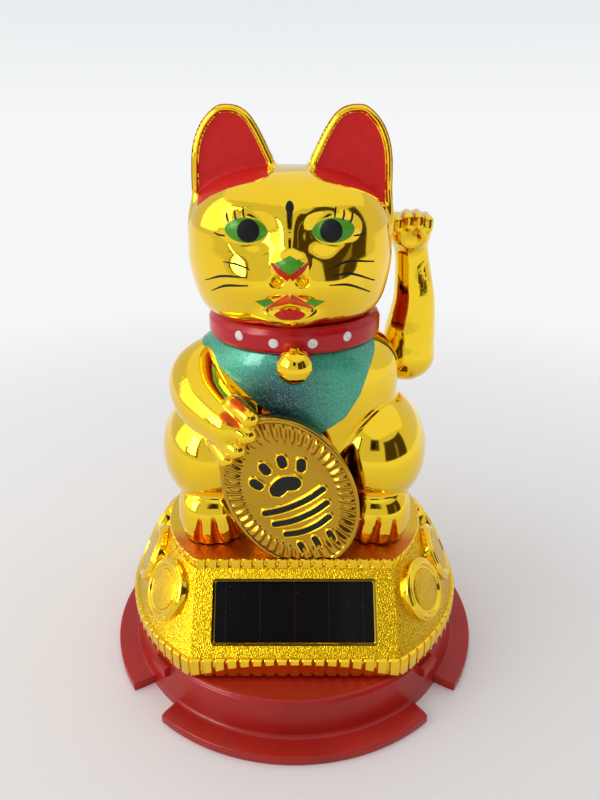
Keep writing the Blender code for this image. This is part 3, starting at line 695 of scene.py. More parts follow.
def board_green():
    """Solder mask over copper tracks."""
    made, tree, node = shader("circuit board", (0.015, 0.12, 0.05), 0.4)
    place_node = add_node(tree, "ShaderNodeTexCoord")
    tracks = add_node(tree, "ShaderNodeTexBrick", Scale=160.0)
    tree.links.new(place_node.outputs["Object"], tracks.inputs["Vector"])
    blend_colour(tree, node, ramp(tree, tracks.outputs["Fac"], 0.4, 0.6), (0.04, 0.22, 0.09))
    return made


# ---------------------------------------------------------------- base

def lobe_share(angles):
    """1 in the four lobes of the foot and 0 in the gaps; angles run from the front in degrees."""
    made = np.zeros(len(angles))
    for middle, half in ((0, 40.1), (180, 40.1), (90, 35.8), (-90, 35.8)):
        away = np.abs((angles - middle + 180) % 360 - 180)
        made = np.maximum(made, np.clip((half - away) / 0.5 + 0.5, 0, 1))
    return made * made * (3 - 2 * made)


def lug_share(angles):
    made = np.zeros(len(angles))
    for middle in (47.15, -47.15, 132.85, -132.85):
        away = np.abs((angles - middle + 180) % 360 - 180)
        made = np.maximum(made, np.clip((3.5 - away) / 0.45 + 0.5, 0, 1))
    return made * made * (3 - 2 * made)


def red_base():
    """Turned foot whose flange is broken into four lobes, with four small lugs above the gaps."""
    angles = np.arange(0, 360, 0.25)
    lobe, lug = lobe_share(angles), lug_share(angles)
    s, c = np.sin(np.radians(angles)), -np.cos(np.radians(angles))
    # wall radius, lobe radius, lug radius, height; round edges are worked out by filleted()
    shoulder = filleted([(30.0, 8.6, 0), (30.0, 10.3, 0), (36.5, 10.3, 0.9), (36.85, 8.6, 0)], 5)[1:-1]
    rows = [(r, r, r, z) for r, z in shoulder]
    for z, share in ((9.55, 0.0), (9.5, 0.75), (9.35, 1.0), (7.3, 1.0), (7.15, 0.75), (7.1, 0.0)):
        wall = 37.5 - (z - 2.0) * 0.65 / 6.6
        rows.append((wall, wall, wall + (38.4 - wall) * share, z))
    rows = [row for row in rows if row[3] > 9.5501 or row[2] != row[0] or row[3] < 9.5]
    rows.sort(key=lambda row: -row[3])
    lobe_line = filleted([(37.3, 5, 0), (37.45, 2.1, 0.9), (42.0, 2.0, 0.35), (42.0, 0.0, 0.3), (37.4, 0.0, 0)], 5)
    rows += [(min(r, 37.5), r, min(r, 37.5), z) for r, z in lobe_line[1:]]
    rows += [(r, r, r, z) for r, z in ((34.9, 0.0), (34.9, 3.1), (33.0, 3.1), (33.0, 8.6), (30.0, 8.6))]
    made = []
    for wall, flange, tab, z in rows:
        radius = wall + lobe * (flange - wall) + lug * (tab - wall)
        made.append(np.column_stack([radius * s, radius * c, np.full(len(s), z)]))
    return place(ring_mesh("red_foot", made), "housing", "red_plastic", RED_PLASTIC, nodes=["red_base"])


BAND_R, BAND_FLAT, CONE_R, CONE_FLAT = 37.4, 31.0, 36.4, 30.0
PLATFORM_R, PLATFORM_FLAT, BAND_TOP, CONE_TOP, PLATFORM_TOP = 28.3, 19.7, 15.0, 28.4, 30.7
FRONT_RIBS, LOWER_RIBS, UPPER_RIBS = 17, 78, 57
RIB_STEPS = (0.0, 0.09, 0.13, 0.2, 0.24, 0.33, 0.56, 0.8)   # where a rib's outline turns, as shares of its pitch
GROOVE_STEPS = (1.0, 1.0, 0.1, 0.0, 0.0, 0.0, 0.0, 0.1)


def rib_inset(share):
    """Groove depth, 0 to 1, at a place along a rib's pitch; a rib is a flat block between narrow grooves."""
    share = (share + 0.08) % 1
    return np.interp(share, (0, 0.035, 0.165, 0.205, 0.28, 0.92, 1), (0.25, 1, 1, 0.25, 0.0, 0.0, 0.25))


def rib_places(count):
    """Places along a run of ribs that its outline needs, from 0 to 1."""
    turns = np.array((0.0, 0.085, 0.125, 0.2, 0.52, 0.84, 0.92, 0.955))
    return ((np.arange(count)[:, None] + turns) / count).ravel()


def d_outline():
    """Places round the D-shaped base: (run, share), run 0 for the straight front and 1 for the arc."""
    front = [(0, t) for t in rib_places(FRONT_RIBS)]
    arc = np.unique(np.round(np.concatenate([rib_places(LOWER_RIBS), rib_places(UPPER_RIBS)]), 6))
    keep = np.concatenate([[True], np.diff(arc) > 4e-5])
    return np.array(front + [(1, t) for t in arc[keep]])


def d_row(radius, flat, z, places, ribs=None, depth=0.0):
    """One closed row of the D shape, its ribs cut inward by depth."""
    corner = math.acos(flat / radius)
    run, t = places.T
    half = radius * math.sin(corner)
    angle = corner + (2 * math.pi - 2 * corner) * t
    x = np.where(run == 0, -half + 2 * half * t, radius * np.sin(angle))
    y = np.where(run == 0, -flat, -radius * np.cos(angle))
    nx, ny = np.where(run == 0, 0, np.sin(angle)), np.where(run == 0, -1, -np.cos(angle))
    if ribs:
        share = np.where(run == 0, t * FRONT_RIBS, t * ribs) % 1
        inset = rib_inset(share) * depth
        x, y = x - nx * inset, y - ny * inset
    return np.column_stack([x, y, np.full(len(x), z)])


def facet_matrix():
    """Local Z out of the sloped front, local Y up the slope, origin mid-slope; millimetres."""
    rise, run = CONE_TOP - BAND_TOP, CONE_FLAT - PLATFORM_FLAT + 0.4
    middle = Vector((0, -(CONE_FLAT + PLATFORM_FLAT - 0.4) / 2, (CONE_TOP + BAND_TOP) / 2))
    return Matrix.Translation(middle) @ Matrix.Rotation(math.atan2(rise, run), 4, "X")


def rounded_rectangle(width, height, corner, z, matrix, steps=6):
    row = []
    for cx, cy, start in ((1, 1, 0), (-1, 1, 90), (-1, -1, 180), (1, -1, 270)):
        for k in range(steps + 1):
            a = math.radians(start + 90 * k / steps)
            local = Vector((cx * (width / 2 - corner) + corner * math.cos(a),
                            cy * (height / 2 - corner) + corner * math.sin(a), z))
            row.append(matrix @ local)
    return row


def boolean(piece, operation, tools):
    """Union or difference with several tools at once, applied, tools removed."""
    group = bpy.data.collections.new("tools")
    bpy.context.scene.collection.children.link(group)
    for made in tools:
        group.objects.link(made)
    step = piece.modifiers.new(operation, "BOOLEAN")
    step.operation = operation
    step.operand_type = "COLLECTION"
    step.collection = group
    step.solver = "EXACT"
    bpy.context.view_layer.update()
    result = bpy.data.meshes.new_from_object(piece.evaluated_get(bpy.context.evaluated_depsgraph_get()))
    piece.modifiers.clear()
    piece.data = result
    for made in tools:
        bpy.data.objects.remove(made)
    bpy.data.collections.remove(group)


def upright(name, x, y, radius, low, high, sides=24):
    return ring_mesh(name, lathe_rows([(radius, low), (radius, high)], sides, Matrix.Translation((x, y, 0))), True)


def gold_base():
    """D-shaped shell: ribbed lower band, sanded slope with the window, ribbed platform edge."""
    places = d_outline()
    inner = [(26.2, 17.6, 28.2), (34.2, 27.8, 15.0), (34.2, 27.8, 10.6)]
    rows = [d_row(r, flat, z, places) for r, flat, z in inner]
    rows += [d_row(r, flat, z, places) for r, flat, z in ((36.0, 29.6, 10.6), (36.0, 29.6, 11.0))]
    band = [(37.1, 30.7, 11.0, 0.4), (37.32, 30.92, 11.12, 0.65), (37.4, 31.0, 11.4, 0.7), (37.4, 31.0, 14.4, 0.7),
            (37.32, 30.92, 14.75, 0.6), (37.1, 30.7, 14.93, 0.3), (36.8, 30.4, 15.0, 0.0)]
    rows += [d_row(r, flat, z, places, LOWER_RIBS, depth) for r, flat, z, depth in band]
    rows += [d_row(36.5, 30.1, 15.02, places), d_row(27.9, 19.3, 28.4, places)]
    top = [(28.15, 19.55, 28.45, 0.0), (28.27, 19.67, 28.55, 0.4), (28.3, 19.7, 28.75, 0.6), (28.3, 19.7, 30.2, 0.6),
           (28.25, 19.65, 30.45, 0.5), (28.1, 19.5, 30.64, 0.2), (27.85, 19.25, 30.7, 0.0)]
    rows += [d_row(r, flat, z, places, UPPER_RIBS, depth) for r, flat, z, depth in top]
    base = ring_mesh("gold_plinth", rows, True, sharp=28)
    facet = facet_matrix()
    sizes = [(33.6, 13.3, 0.9, 1.0), (33.2, 12.9, 0.8, 0.0), (32.1, 11.8, 0.45, -0.75), (32.0, 11.7, 0.4, -4.0)]
    window = ring_mesh("window", [rounded_rectangle(w, h, c, z, facet) for w, h, c, z in sizes[::-1]], True)
    seat = ring_mesh("seat", [rounded_rectangle(35.8, 14.8, 0.3, z, facet, 2) for z in (-4.6, -1.1)], True)
    slot_way = Matrix.Translation((0, PIVOT_Y, 0))
    slot = ring_mesh("slot", [rounded_rectangle(12, 20, 1.0, z, slot_way, 3) for z in (26, 33)], True)
    holes = [upright("hole", x, y, 1.7, 26, 33, 16) for x, y in ((-17, -7), (17, -7), (-12.5, 16.9), (12.5, 16.9))]
    holes += [upright("hole", x, PIVOT_Y, 1.2, 24, 33, 16) for x in (-12.4, 12.4)]
    boolean(base, "DIFFERENCE", [window, seat, slot] + holes)
    base.data.shade_smooth()
    base.data.set_sharp_from_angle(angle=math.radians(28))
    paint_base(base.data, facet)
    plinth_posts()
    return place(base, "housing", "gold_plating", GOLD_MIRROR, SAND_GOLD, PLATFORM_GOLD, nodes=["gold_base"])


def plinth_posts():
    """The four bored posts under the platform that take the base screws."""
    whole = bmesh.new()
    profile = filleted([(1.5, 13.0, 0), (0.05, 13.0, 0), (0.05, 28.6, 0), (3.2, 28.6, 0), (3.2, 3.1, 0.4), (1.5, 3.1, 0.2)], 3)
    for x in (-20.0, 20.0):
        for y in (-14.1, 14.1):
            take(whole, ring_mesh("post", lathe_rows(profile, 36, Matrix.Translation((x, y, 0)))))
    place(finished("plinth_posts", whole), "housing", "gold_plating", GOLD_MIRROR)


def paint_base(mesh, facet):
    """Sanded gold on the slope, tinted gold on the platform, bright gold on the ribs and in the window."""
    centres = np.zeros(len(mesh.polygons) * 3)
    normals = centres.copy()
    mesh.polygons.foreach_get("center", centres)
    mesh.polygons.foreach_get("normal", normals)
    centres, normals = centres.reshape(-1, 3) / MM, normals.reshape(-1, 3)
    inverse = np.array(facet.inverted())
    local = centres @ inverse[:3, :3].T + inverse[:3, 3]
    in_window = (np.abs(local[:, 0]) < 17) & (np.abs(local[:, 1]) < 6.8) & (local[:, 2] < -0.02)
    slope = (centres[:, 2] > 14.99) & (centres[:, 2] < 28.42) & (normals[:, 2] > 0.2) & ~in_window
    index = np.where(slope, 1, 0)
    index[(centres[:, 2] > 30.66) & (normals[:, 2] > 0.5)] = 2
    mesh.polygons.foreach_set("material_index", index.astype(np.int32))


def boss_matrix(azimuth):
    turn = Matrix.Rotation(math.radians(azimuth), 4, "Z")
    return turn @ Matrix.Translation((0, -33.4, 22.6)) @ Matrix.Rotation(math.radians(62), 4, "X")


def coin_bosses():
    """Eleven relief coins round the slope: a smooth drum, a raised ring and a grained middle."""
    corners = [(6.15, -4.2, 0), (6.5, -3.6, 0.3), (6.5, -0.55, 0.5), (5.9, -0.3, 0.2), (5.75, 0.02, 0.25),
               (5.1, 0.02, 0.25), (4.75, -0.5, 0.2), (4.3, -0.5, 0.15), (4.15, -0.05, 0.3), (0.35, 0.08, 0)]
    profile = filleted([(0.3, -4.2, 0)] + corners, 3)[1:]
    for i in range(11):
        matrix = boss_matrix(56 + 24.8 * i)
        boss = ring_mesh("coin_boss_%02d" % (i + 1), lathe_rows(profile, 72, matrix), True)
        inverse = np.array(matrix.inverted())
        for face in boss.data.polygons:
            local = inverse[:3, :3] @ (np.array(face.center) / MM) + inverse[:3, 3]
            if math.hypot(local[0], local[1]) < 4.2 and local[2] > -0.4:
                face.material_index = 1
        place(boss, "housing", "gold_plating", GOLD_MIRROR, BOSS_GOLD)


# ---------------------------------------------------------------- figure

def body_halves():
    points, quads = contour(body_field, (-29.5, -25.5, 29.0), (29.5, 30.5, 78.5), 0.46)
    halves = {"front": ((0, BODY_SPLIT - SEAM, 0), (0, 1, 0)), "back": ((0, BODY_SPLIT + SEAM, 0), (0, -1, 0))}
    for label, plane in halves.items():
        kept, faces = clipped(points, quads, [plane, ((0, 0, FEET_Z), (0, 0, -1))])
        holes = [(2, (0, COLLAR_Y), NECK_BORE, 75.5)]
        if label == "back":
            holes.append((0, (PIVOT_Y, PIVOT_Z), 2.3, 14.0))
        kept, faces = punched(kept, faces, holes)
        half, outer = shelled("body_%s_skin" % label, body_field, kept, faces)
        mask(half, "bib", bib_distance(outer))
        mask(half, "toes", orange_distance(outer))
        place(half, "housing", "gold_plating", FIGURE_GOLD, nodes=["body_" + label])


def bib_distance(p):
    made = outline_distance(p[:, 0], p[:, 2], np.array(BIB))
    arm = tube(p, HOLD_PATH[18:])
    for finger in FINGERS:
        arm = np.minimum(arm, tube(p, finger))
    return np.maximum(np.maximum(made, p[:, 1] - 1.0), 0.6 - arm)


def orange_distance(p):
    made = np.full(len(p), 9.0)
    for path in GROOVES:
        wide = [(x, y, z, r + 0.12) for x, y, z, r in path]
        made = np.minimum(made, tube(p, wide))
    for knuckle, tip in FINGERS[:3]:
        start, end = [np.array(end[:3]) + (0.2, -1.3, 1.1) for end in (knuckle, tip)]
        made = np.minimum(made, tube(p, [(*(start * 0.9 + end * 0.1), 1.25), (*(start * 0.4 + end * 0.6), 0.6)]))
    return made


def head_halves():
    points, quads = contour(head_field, (-22.5, -21, 71.0), (21, 17.5, 116.5), 0.36)
    halves = {"front": ((0, HEAD_SPLIT - SEAM, 0), (0, 1, 0)), "back": ((0, HEAD_SPLIT + SEAM, 0), (0, -1, 0))}
    for label, plane in halves.items():
        kept, faces = clipped(points, quads, [plane, ((0, 0, 72.3), (0, 0, -1))])
        half, outer = shelled("head_%s_skin" % label, head_field, kept, faces, 1.1)
        mask(half, "ears", ear_paint(outer))
        place(half, "housing", "gold_plating", HEAD_GOLD, nodes=["head_" + label])


def ear_paint(p):
    """Distance to the red of the ears and the strip of forehead below them."""
    x, y, z = np.abs(p[:, 0] + HEAD_SHIFT), p[:, 1], p[:, 2]
    edge = np.array(RED_LINE)
    below = np.interp(x, edge[:, 0], edge[:, 1]) - z
    inside = outline_distance(x, np.maximum(z, 100.0), EAR_RING) + EAR_RIM + 0.2
    behind = y - (EAR_FRONT + 0.03 * (z - 100)) - EAR_DISH - 0.3
    return np.maximum(np.maximum(below, inside), np.maximum(behind, y + 3.0))


def wave_arm():
    points, quads = contour(arm_field, (17.5, 0.0, 55.5), (32.5, 17.0, 98.0), 0.34)
    halves = {"front": ((0, WAVE_SPLIT - SEAM, 0), (0, 1, 0)), "back": ((0, WAVE_SPLIT + SEAM, 0), (0, -1, 0))}
    for label, plane in halves.items():
        kept, faces = clipped(points, quads, [plane])
        mirror = kept * (-1, 1, 1)
        centre = (PIVOT_Y, PIVOT_Z)
        mirror, faces = punched(mirror, faces, [(0, centre, 1.4, -22.6)])
        half, outer = shelled("arm_%s_skin" % label, arm_field, mirror * (-1, 1, 1), faces, 1.2)
        mask(half, "toes", knuckle_paint(outer))
        place(half, "swing", "gold_plating", ARM_GOLD, nodes=["arm_" + label])


def knuckle_paint(p):
    made = np.full(len(p), 9.0)
    for a, b in zip(KNUCKLES, KNUCKLES[1:]):
        x, y, z = [(u + v) / 2 for u, v in zip(a, b)]
        made = np.minimum(made, tube(p, [(x, y - 1.4, z - 0.3, 0.5), (x, y + 1.6, z + 1.4, 0.35)]))
    return made


# ---------------------------------------------------------------- painted details on the face

def face_map(step=0.25):
    """Depth of the face over a grid of x and z, worked out once."""
    x, z = np.arange(-18, 17, step), np.arange(78.5, 102, step)
    spots = np.stack(np.meshgrid(x, z, indexing="ij"), -1).reshape(-1, 2)
    depth = land(head_field, spots, -24.0, 40)[:, 1]
    return x, z, depth.reshape(len(x), len(z))


def on_face(spots):
    """Points of the face in front of rows of x, z."""
    x, z, depth = FACE_MAP
    i, j = (spots[:, 0] - x[0]) / (x[1] - x[0]), (spots[:, 1] - z[0]) / (z[1] - z[0])
    a, b = i.astype(int), j.astype(int)
    u, v = i - a, j - b
    low = depth[a, b] * (1 - u) + depth[a + 1, b] * u
    high = depth[a, b + 1] * (1 - u) + depth[a + 1, b + 1] * u
    return settle(head_field, np.column_stack([spots[:, 0], low * (1 - v) + high * v, spots[:, 1]]), 1)


def laid(rows, closed, lift, under=0.12):
    """Thin paint solid on the face: rows of (x, z) points dropped on from the front."""
    count, width = len(rows), len(rows[0])
    base = on_face(np.array(rows).reshape(-1, 2))
    normals = gradient(head_field, base)
    normals /= np.linalg.norm(normals, axis=1)[:, None]
    total = len(base)
    points = np.vstack([base + normals * lift, base - normals * under])
    faces = []
    steps = range(width) if closed else range(width - 1)
    for i in range(count - 1):
        for j in steps:
            k = (j + 1) % width
            faces.append((i * width + j, i * width + k, (i + 1) * width + k, (i + 1) * width + j))
    if closed:
        faces.append(tuple(range((count - 1) * width, count * width)))
    faces += [tuple(total + i for i in face[::-1]) for face in faces]
    seen = {(a, b) for f in faces for a, b in zip(f, f[1:] + f[:1])}
    border = [(a, b) for a, b in seen if (b, a) not in seen and a < total]
    faces += [(b, a, a + total, b + total) for a, b in sorted(border)]
    bm = bmesh.new()
    verts = [bm.verts.new(p * MM) for p in points]
    for face in faces:
        if len(set(face)) > 2:
            bm.faces.new([verts[i] for i in face])
    bmesh.ops.recalc_face_normals(bm, faces=bm.faces)
    return bm


def patch_rows(outline, rings=7):
    """Rows from an outline inward to its middle."""
    outline = np.array(outline)
    middle = outline.mean(0)
    return [middle + (outline - middle) * s for s in np.linspace(1, 0.08, rings)]


def stroke_rows(points, widths, across=5):
    """Rows across a tapering brush stroke."""
    path = spline([(*p, w) for p, w in zip(points, widths)], 8)
    ahead = np.gradient(path[:, :2], axis=0)
    side = np.column_stack([-ahead[:, 1], ahead[:, 0]]) / np.linalg.norm(ahead, axis=1)[:, None]
    return [p[:2] + s * p[2] / 2 * t for t in np.linspace(-1, 1, across) for p, s in zip(path, side)], len(path)


def paint_piece(name, meshes, material, slot="gold_plating"):
    """Join thin paint solids into one piece."""
    whole = bmesh.new()
    for part in meshes:
        mesh = bpy.data.meshes.new("part")
        part.to_mesh(mesh)
        part.free()
        whole.from_mesh(mesh)
        bpy.data.meshes.remove(mesh)
    return place(finished(name, whole, 50), "housing", slot, material)


def patch(outline, lift, rings=7):
    return laid(patch_rows(outline, rings), True, lift)


def stroke(points, widths, lift=0.09):
    flat, length = stroke_rows(points, widths)
    rows = [flat[i:i + length] for i in range(0, len(flat), length)]
    return laid(rows, False, lift)


def ellipse(cx, cz, rx, rz, power=2.0, count=64, lean=0.0):
    t = np.linspace(0, 2 * np.pi, count, endpoint=False)
    c, s = np.cos(t), np.sin(t)
    x, z = rx * np.sign(c) * np.abs(c) ** (2 / power), rz * np.sign(s) * np.abs(s) ** (2 / power)
    turn = math.radians(lean)
    return np.column_stack([cx + x * math.cos(turn) - z * math.sin(turn), cz + x * math.sin(turn) + z * math.cos(turn)])


def polygon(points, steps=6):
    """Straight-sided outline with extra points along its sides."""
    pairs = zip(points, points[1:] + points[:1])
    return [(a[0] + (b[0] - a[0]) * k / steps, a[1] + (b[1] - a[1]) * k / steps)
            for a, b in pairs for k in range(steps)]


FACE_MAP = face_map()


def face_paint():
    eyes = [(-8.25, 95.25, -3.0), (6.6, 95.25, 3.0)]
    paint_piece("eye_green", [patch(ellipse(x, z, 3.65, 2.1, 1.85, lean=a), 0.06) for x, z, a in eyes],
                GREEN_PAINT)
    pupils = [(-7.85, 95.2), (6.25, 95.2)]
    paint_piece("pupils", [patch(ellipse(x, z, 1.87, 1.9), 0.12) for x, z in pupils], BLACK_PAINT)
    tear = ellipse(FACE_X, 98.9, 0.72, 1.15)
    tear[:, 1] = np.where(tear[:, 1] < 98.9, 98.9 + (tear[:, 1] - 98.9) * 1.75, tear[:, 1])
    tear[:, 0] = FACE_X + (tear[:, 0] - FACE_X) * np.clip((tear[:, 1] - 96.6) / 2.3, 0.25, 1)
    paint_piece("forehead_drop", [patch(tear, 0.06)], BLACK_PAINT)
    whiskers = [[(-12.4, 89.9), (-10.0, 89.7), (-7.7, 89.0)], [(-16.1, 86.0), (-12.6, 87.4), (-8.2, 87.7)],
                [(-15.0, 84.2), (-12.0, 85.8), (-8.0, 86.3)], [(5.9, 89.0), (9.3, 90.1), (14.1, 89.5)],
                [(6.3, 87.9), (9.8, 88.0), (14.4, 86.0)], [(6.0, 86.4), (9.5, 86.1), (13.6, 84.0)]]
    lashes = [[(-11.6, 98.0), (-11.5, 97.3), (-11.2, 96.6)], [(-10.2, 98.4), (-10.1, 97.7), (-9.9, 97.0)],
              [(-8.7, 99.0), (-8.7, 98.2), (-8.5, 97.4)], [(-13.9, 94.6), (-13.0, 94.3), (-12.0, 94.3)],
              [(7.0, 99.0), (6.9, 98.2), (6.8, 97.4)], [(8.4, 98.5), (8.4, 97.7), (8.1, 96.9)],
              [(9.9, 98.0), (9.8, 97.2), (9.5, 96.5)], [(10.2, 94.3), (11.2, 94.3), (12.3, 94.5)]]
    strokes = [stroke(line, (0.14, 0.42, 0.24)) for line in whiskers] + [stroke(line, (0.2, 0.32, 0.26)) for line in lashes]
    paint_piece("whiskers_and_lashes", strokes, BLACK_PAINT)
    nose = polygon([(FACE_X, 91.6), (-3.3, 90.3), (FACE_X, 88.4), (1.7, 90.3)])
    paint_piece("nose_green", [patch(nose, 0.1)], GREEN_PAINT)
    under = [stroke([(-3.9, 90.2), (-2.6, 89.0), (FACE_X, 87.7)], (0.3, 1.1, 1.5), 0.06),
             stroke([(FACE_X, 87.7), (1.0, 89.0), (2.3, 90.2)], (1.5, 1.1, 0.3), 0.06)]
    lips = [stroke([(FACE_X, 84.1), (-2.8, 83.1), (-4.9, 82.1)], (1.5, 1.1, 0.35), 0.06),
            stroke([(FACE_X, 84.1), (1.2, 83.1), (3.3, 82.1)], (1.5, 1.1, 0.35), 0.06)]
    lower = ellipse(FACE_X, 81.1, 2.7, 0.75, 1.9)
    paint_piece("nose_edge_red", under, RED_PAINT)
    paint_piece("upper_lip_orange", lips, ORANGE_PAINT)
    paint_piece("lower_lip_red", [patch(lower, 0.06)], RED_PAINT)
    corners = [polygon([(-6.9, 83.5), (-4.4, 84.0), (-3.6, 83.2), (-5.2, 82.3)]),
               polygon([(5.3, 83.5), (2.8, 84.0), (2.0, 83.2), (3.6, 82.3)])]
    paint_piece("mouth_green", [patch(line, 0.04) for line in corners], GREEN_PAINT)


# ---------------------------------------------------------------- collar, bell, coin

def collar():
    corners = [(15.3, 73.3, 0.1), (16.9, 73.2, 0.35), (17.3, 73.9, 0.4), (17.3, 76.6, 0.8), (16.75, 77.6, 0.5),
               (16.3, 78.0, 0.25), (15.3, 78.0, 0.1)]
    rows = lathe_rows(filleted(corners, 4), 240, Matrix.Translation((0, COLLAR_Y, 0)))
    place(ring_mesh("collar_band", rows), "housing", "red_plastic", COLLAR_RED, nodes=["collar"])
    dots = bmesh.new()
    for degrees, height in ((-36.6, 75.8), (-12.8, 75.3), (11.0, 75.3), (34.4, 75.8)):
        azimuth = math.radians(degrees)
        out = Vector((math.sin(azimuth), -math.cos(azimuth), 0))
        centre = Vector((0, COLLAR_Y, height)) + out * (COLLAR_R - 0.05)
        matrix = Matrix.Translation(centre) @ out.to_track_quat("Z", "Y").to_matrix().to_4x4()
        rows = lathe_rows([(0.95, -0.25), (0.96, 0.0), (0.8, 0.11), (0.5, 0.15), (0.15, 0.16)], 24, matrix)
        dot = ring_mesh("dot", rows, True)
        dots.from_mesh(dot.data)
        bpy.data.objects.remove(dot)
    place(finished("collar_dots", dots), "housing", "white_plastic", WHITE_PAINT)


def bell():
    """Round bell with a waist ridge and a slot, on its crown and peg."""
    profile = [(0.1, -BELL_R)]
    for k in range(4, 90):
        a = math.pi * (k / 90 - 0.5)
        ridge = 0.05 * math.exp(-((math.degrees(a) + 4) / 3.5) ** 2)
        profile.append(((BELL_R + ridge) * math.cos(a), (BELL_R + ridge) * math.sin(a)))
        if k > 79:
            break
    profile += [(0.8, 3.3), (0.75, 3.55), (0.1, 3.6)]
    ball = ring_mesh("bell_ball", lathe_rows(profile, 72, Matrix.Translation((0, BELL_Y, BELL_Z))), True)
    way = Matrix.Translation((0, 0, 75.0)) @ Matrix.Rotation(math.pi / 2, 4, "X")
    peg = ring_mesh("peg", lathe_rows([(0.7, 13.9), (0.7, 19.0)], 20, way), True)
    boolean(ball, "UNION", [peg])
    slot_way = Matrix.Translation((0, BELL_Y, 70.3)) @ Matrix.Rotation(math.pi / 2, 4, "X")
    slot = ring_mesh("slot", [rounded_rectangle(3.6, 0.55, 0.27, z, slot_way, 5) for z in (-5, 5)], True)
    boolean(ball, "DIFFERENCE", [slot])
    ball.data.shade_smooth()
    ball.data.set_sharp_from_angle(angle=math.radians(38))
    place(ball, "housing", "gold_plating", GOLD_MIRROR, nodes=["bell"])


def coin_place(local):
    """Local u, v, height above the coin's middle plane to the shared frame."""
    return np.asarray(local) @ COIN_TURN.T + COIN


def coin():
    """Oval coin with a beaded rim of radial ribs, cut flat where it stands."""
    ribs, steps = 46, 12
    fine = np.linspace(0, 2 * np.pi, 4001)
    speed = np.hypot(COIN_A * np.sin(fine), COIN_B * np.cos(fine))
    length = np.concatenate([[0], np.cumsum((speed[1:] + speed[:-1]) / 2)])
    t = np.interp(np.arange(ribs * steps) / (ribs * steps), length / length[-1], fine)
    wave = 0.5 - 0.5 * np.cos(2 * np.pi * np.arange(ribs * steps) / steps)
    rows = []
    back = [(0.05, -1.1, 0), (0.96, -1.1, 0), (0.99, -1.0, 0), (1.0, -0.8, 0)]
    front = [(1.0, 0.95, 0), (0.992, 1.25, 0), (0.975, 1.4, 0), (0.955, 1.42, 0), (0.94, 1.3, 0.0), (0.932, 1.1, 0.2),
             (0.91, 1.0, 0.75), (0.87, 1.0, 1.0), (0.80, 1.0, 1.0), (0.745, 1.0, 0.85), (0.72, 1.0, 0.4), (0.70, 1.0, 0)]
    front += [(s, 1.0, 0) for s in (0.6, 0.45, 0.3, 0.15, 0.05)]
    for size, height, rib in back + front:
        local = np.column_stack([COIN_A * size * np.cos(t), COIN_B * size * np.sin(t), height + 0.6 * rib * wave])
        rows.append(coin_place(local))
    made = ring_mesh("koban", rows, True, 50)
    floor_cut = ring_mesh("floor", [rounded_rectangle(60, 30, 1, z, Matrix.Translation((0, -15, 0)), 2) for z in (15, FEET_Z)], True)
    boolean(made, "DIFFERENCE", [floor_cut])
    made.data.shade_smooth()
    made.data.set_sharp_from_angle(angle=math.radians(42))
    place(made, "housing", "gold_plating", COIN_PLATING, nodes=["koban_coin"])
    coin_motif()


def stadium(path, reach, steps=8):
    """Outline at a distance round an open path."""
    path = np.array(path, float)
    ahead = np.gradient(path, axis=0)
    side = np.column_stack([-ahead[:, 1], ahead[:, 0]]) / np.linalg.norm(ahead, axis=1)[:, None]
    first, last = math.atan2(*side[0][::-1]), math.atan2(*side[-1][::-1])
    left, right = path + side * reach, path - side * reach
    end = [path[-1] + reach * np.array((math.cos(last - a), math.sin(last - a))) for a in np.pi * np.arange(1, steps) / steps]
    start = [path[0] - reach * np.array((math.cos(first - a), math.sin(first - a))) for a in np.pi * np.arange(1, steps) / steps]
    return np.vstack([left, end, right[::-1], start])


def coin_motif():
    """A plain motif in place of any writing: a paw print above curved bars, each a black inset with a raised edge."""
    pad = spline([(-1.7, 2.4), (0.0, 3.0), (1.7, 2.4)], 6)
    toes = [spline([(x, z), (x * 1.12, z + 1.1)], 4) for x, z in ((-4.5, 4.7), (-1.7, 7.0), (1.7, 7.0), (4.5, 4.7))]
    shapes = [(pad, 1.5)] + [(toe, 0.85) for toe in toes]
    for k, v in enumerate((-2.2, -5.3, -8.4)):
        half = (6.2, 5.6, 4.6)[k]
        shapes.append((spline([(-half, v + 0.9), (-half / 2, v + 0.2), (0, v), (half / 2, v + 0.2), (half, v + 0.9)], 6), 0.62))
    for x in (-3.2, 0.0, 3.2):
        shapes.append((spline([(x, -10.9), (x, -12.6)], 5), 0.6))
    edge = [(0.55, 0.9), (0.5, 1.12), (0.36, 1.36), (0.2, 1.45), (0.06, 1.38), (0.0, 1.2), (-0.02, 0.9)]
    gold, black = bmesh.new(), bmesh.new()
    for path, reach in shapes:
        rows = [coin_place(np.column_stack([*stadium(path, reach + d).T, np.full(len(stadium(path, reach)), h)])) for d, h in edge]
        take(gold, ring_mesh("edge", rows, False, 60))
        rows = [coin_place(np.column_stack([*stadium(path, reach * s).T, np.full(len(stadium(path, reach)), h)]))
                for s, h in ((0.99, 0.9), (0.99, 1.16), (0.7, 1.2), (0.3, 1.21))]
        take(black, ring_mesh("inset", rows, True, 60))
    place(finished("koban_motif_edges", gold, 60), "housing", "gold_plating", GOLD_MIRROR)
    place(finished("koban_motif_black", black, 60), "housing", "black_plastic", COIN_BLACK)


def take(whole, piece):
    whole.from_mesh(piece.data)
    bpy.data.objects.remove(piece)


# ---------------------------------------------------------------- carried-over nodes

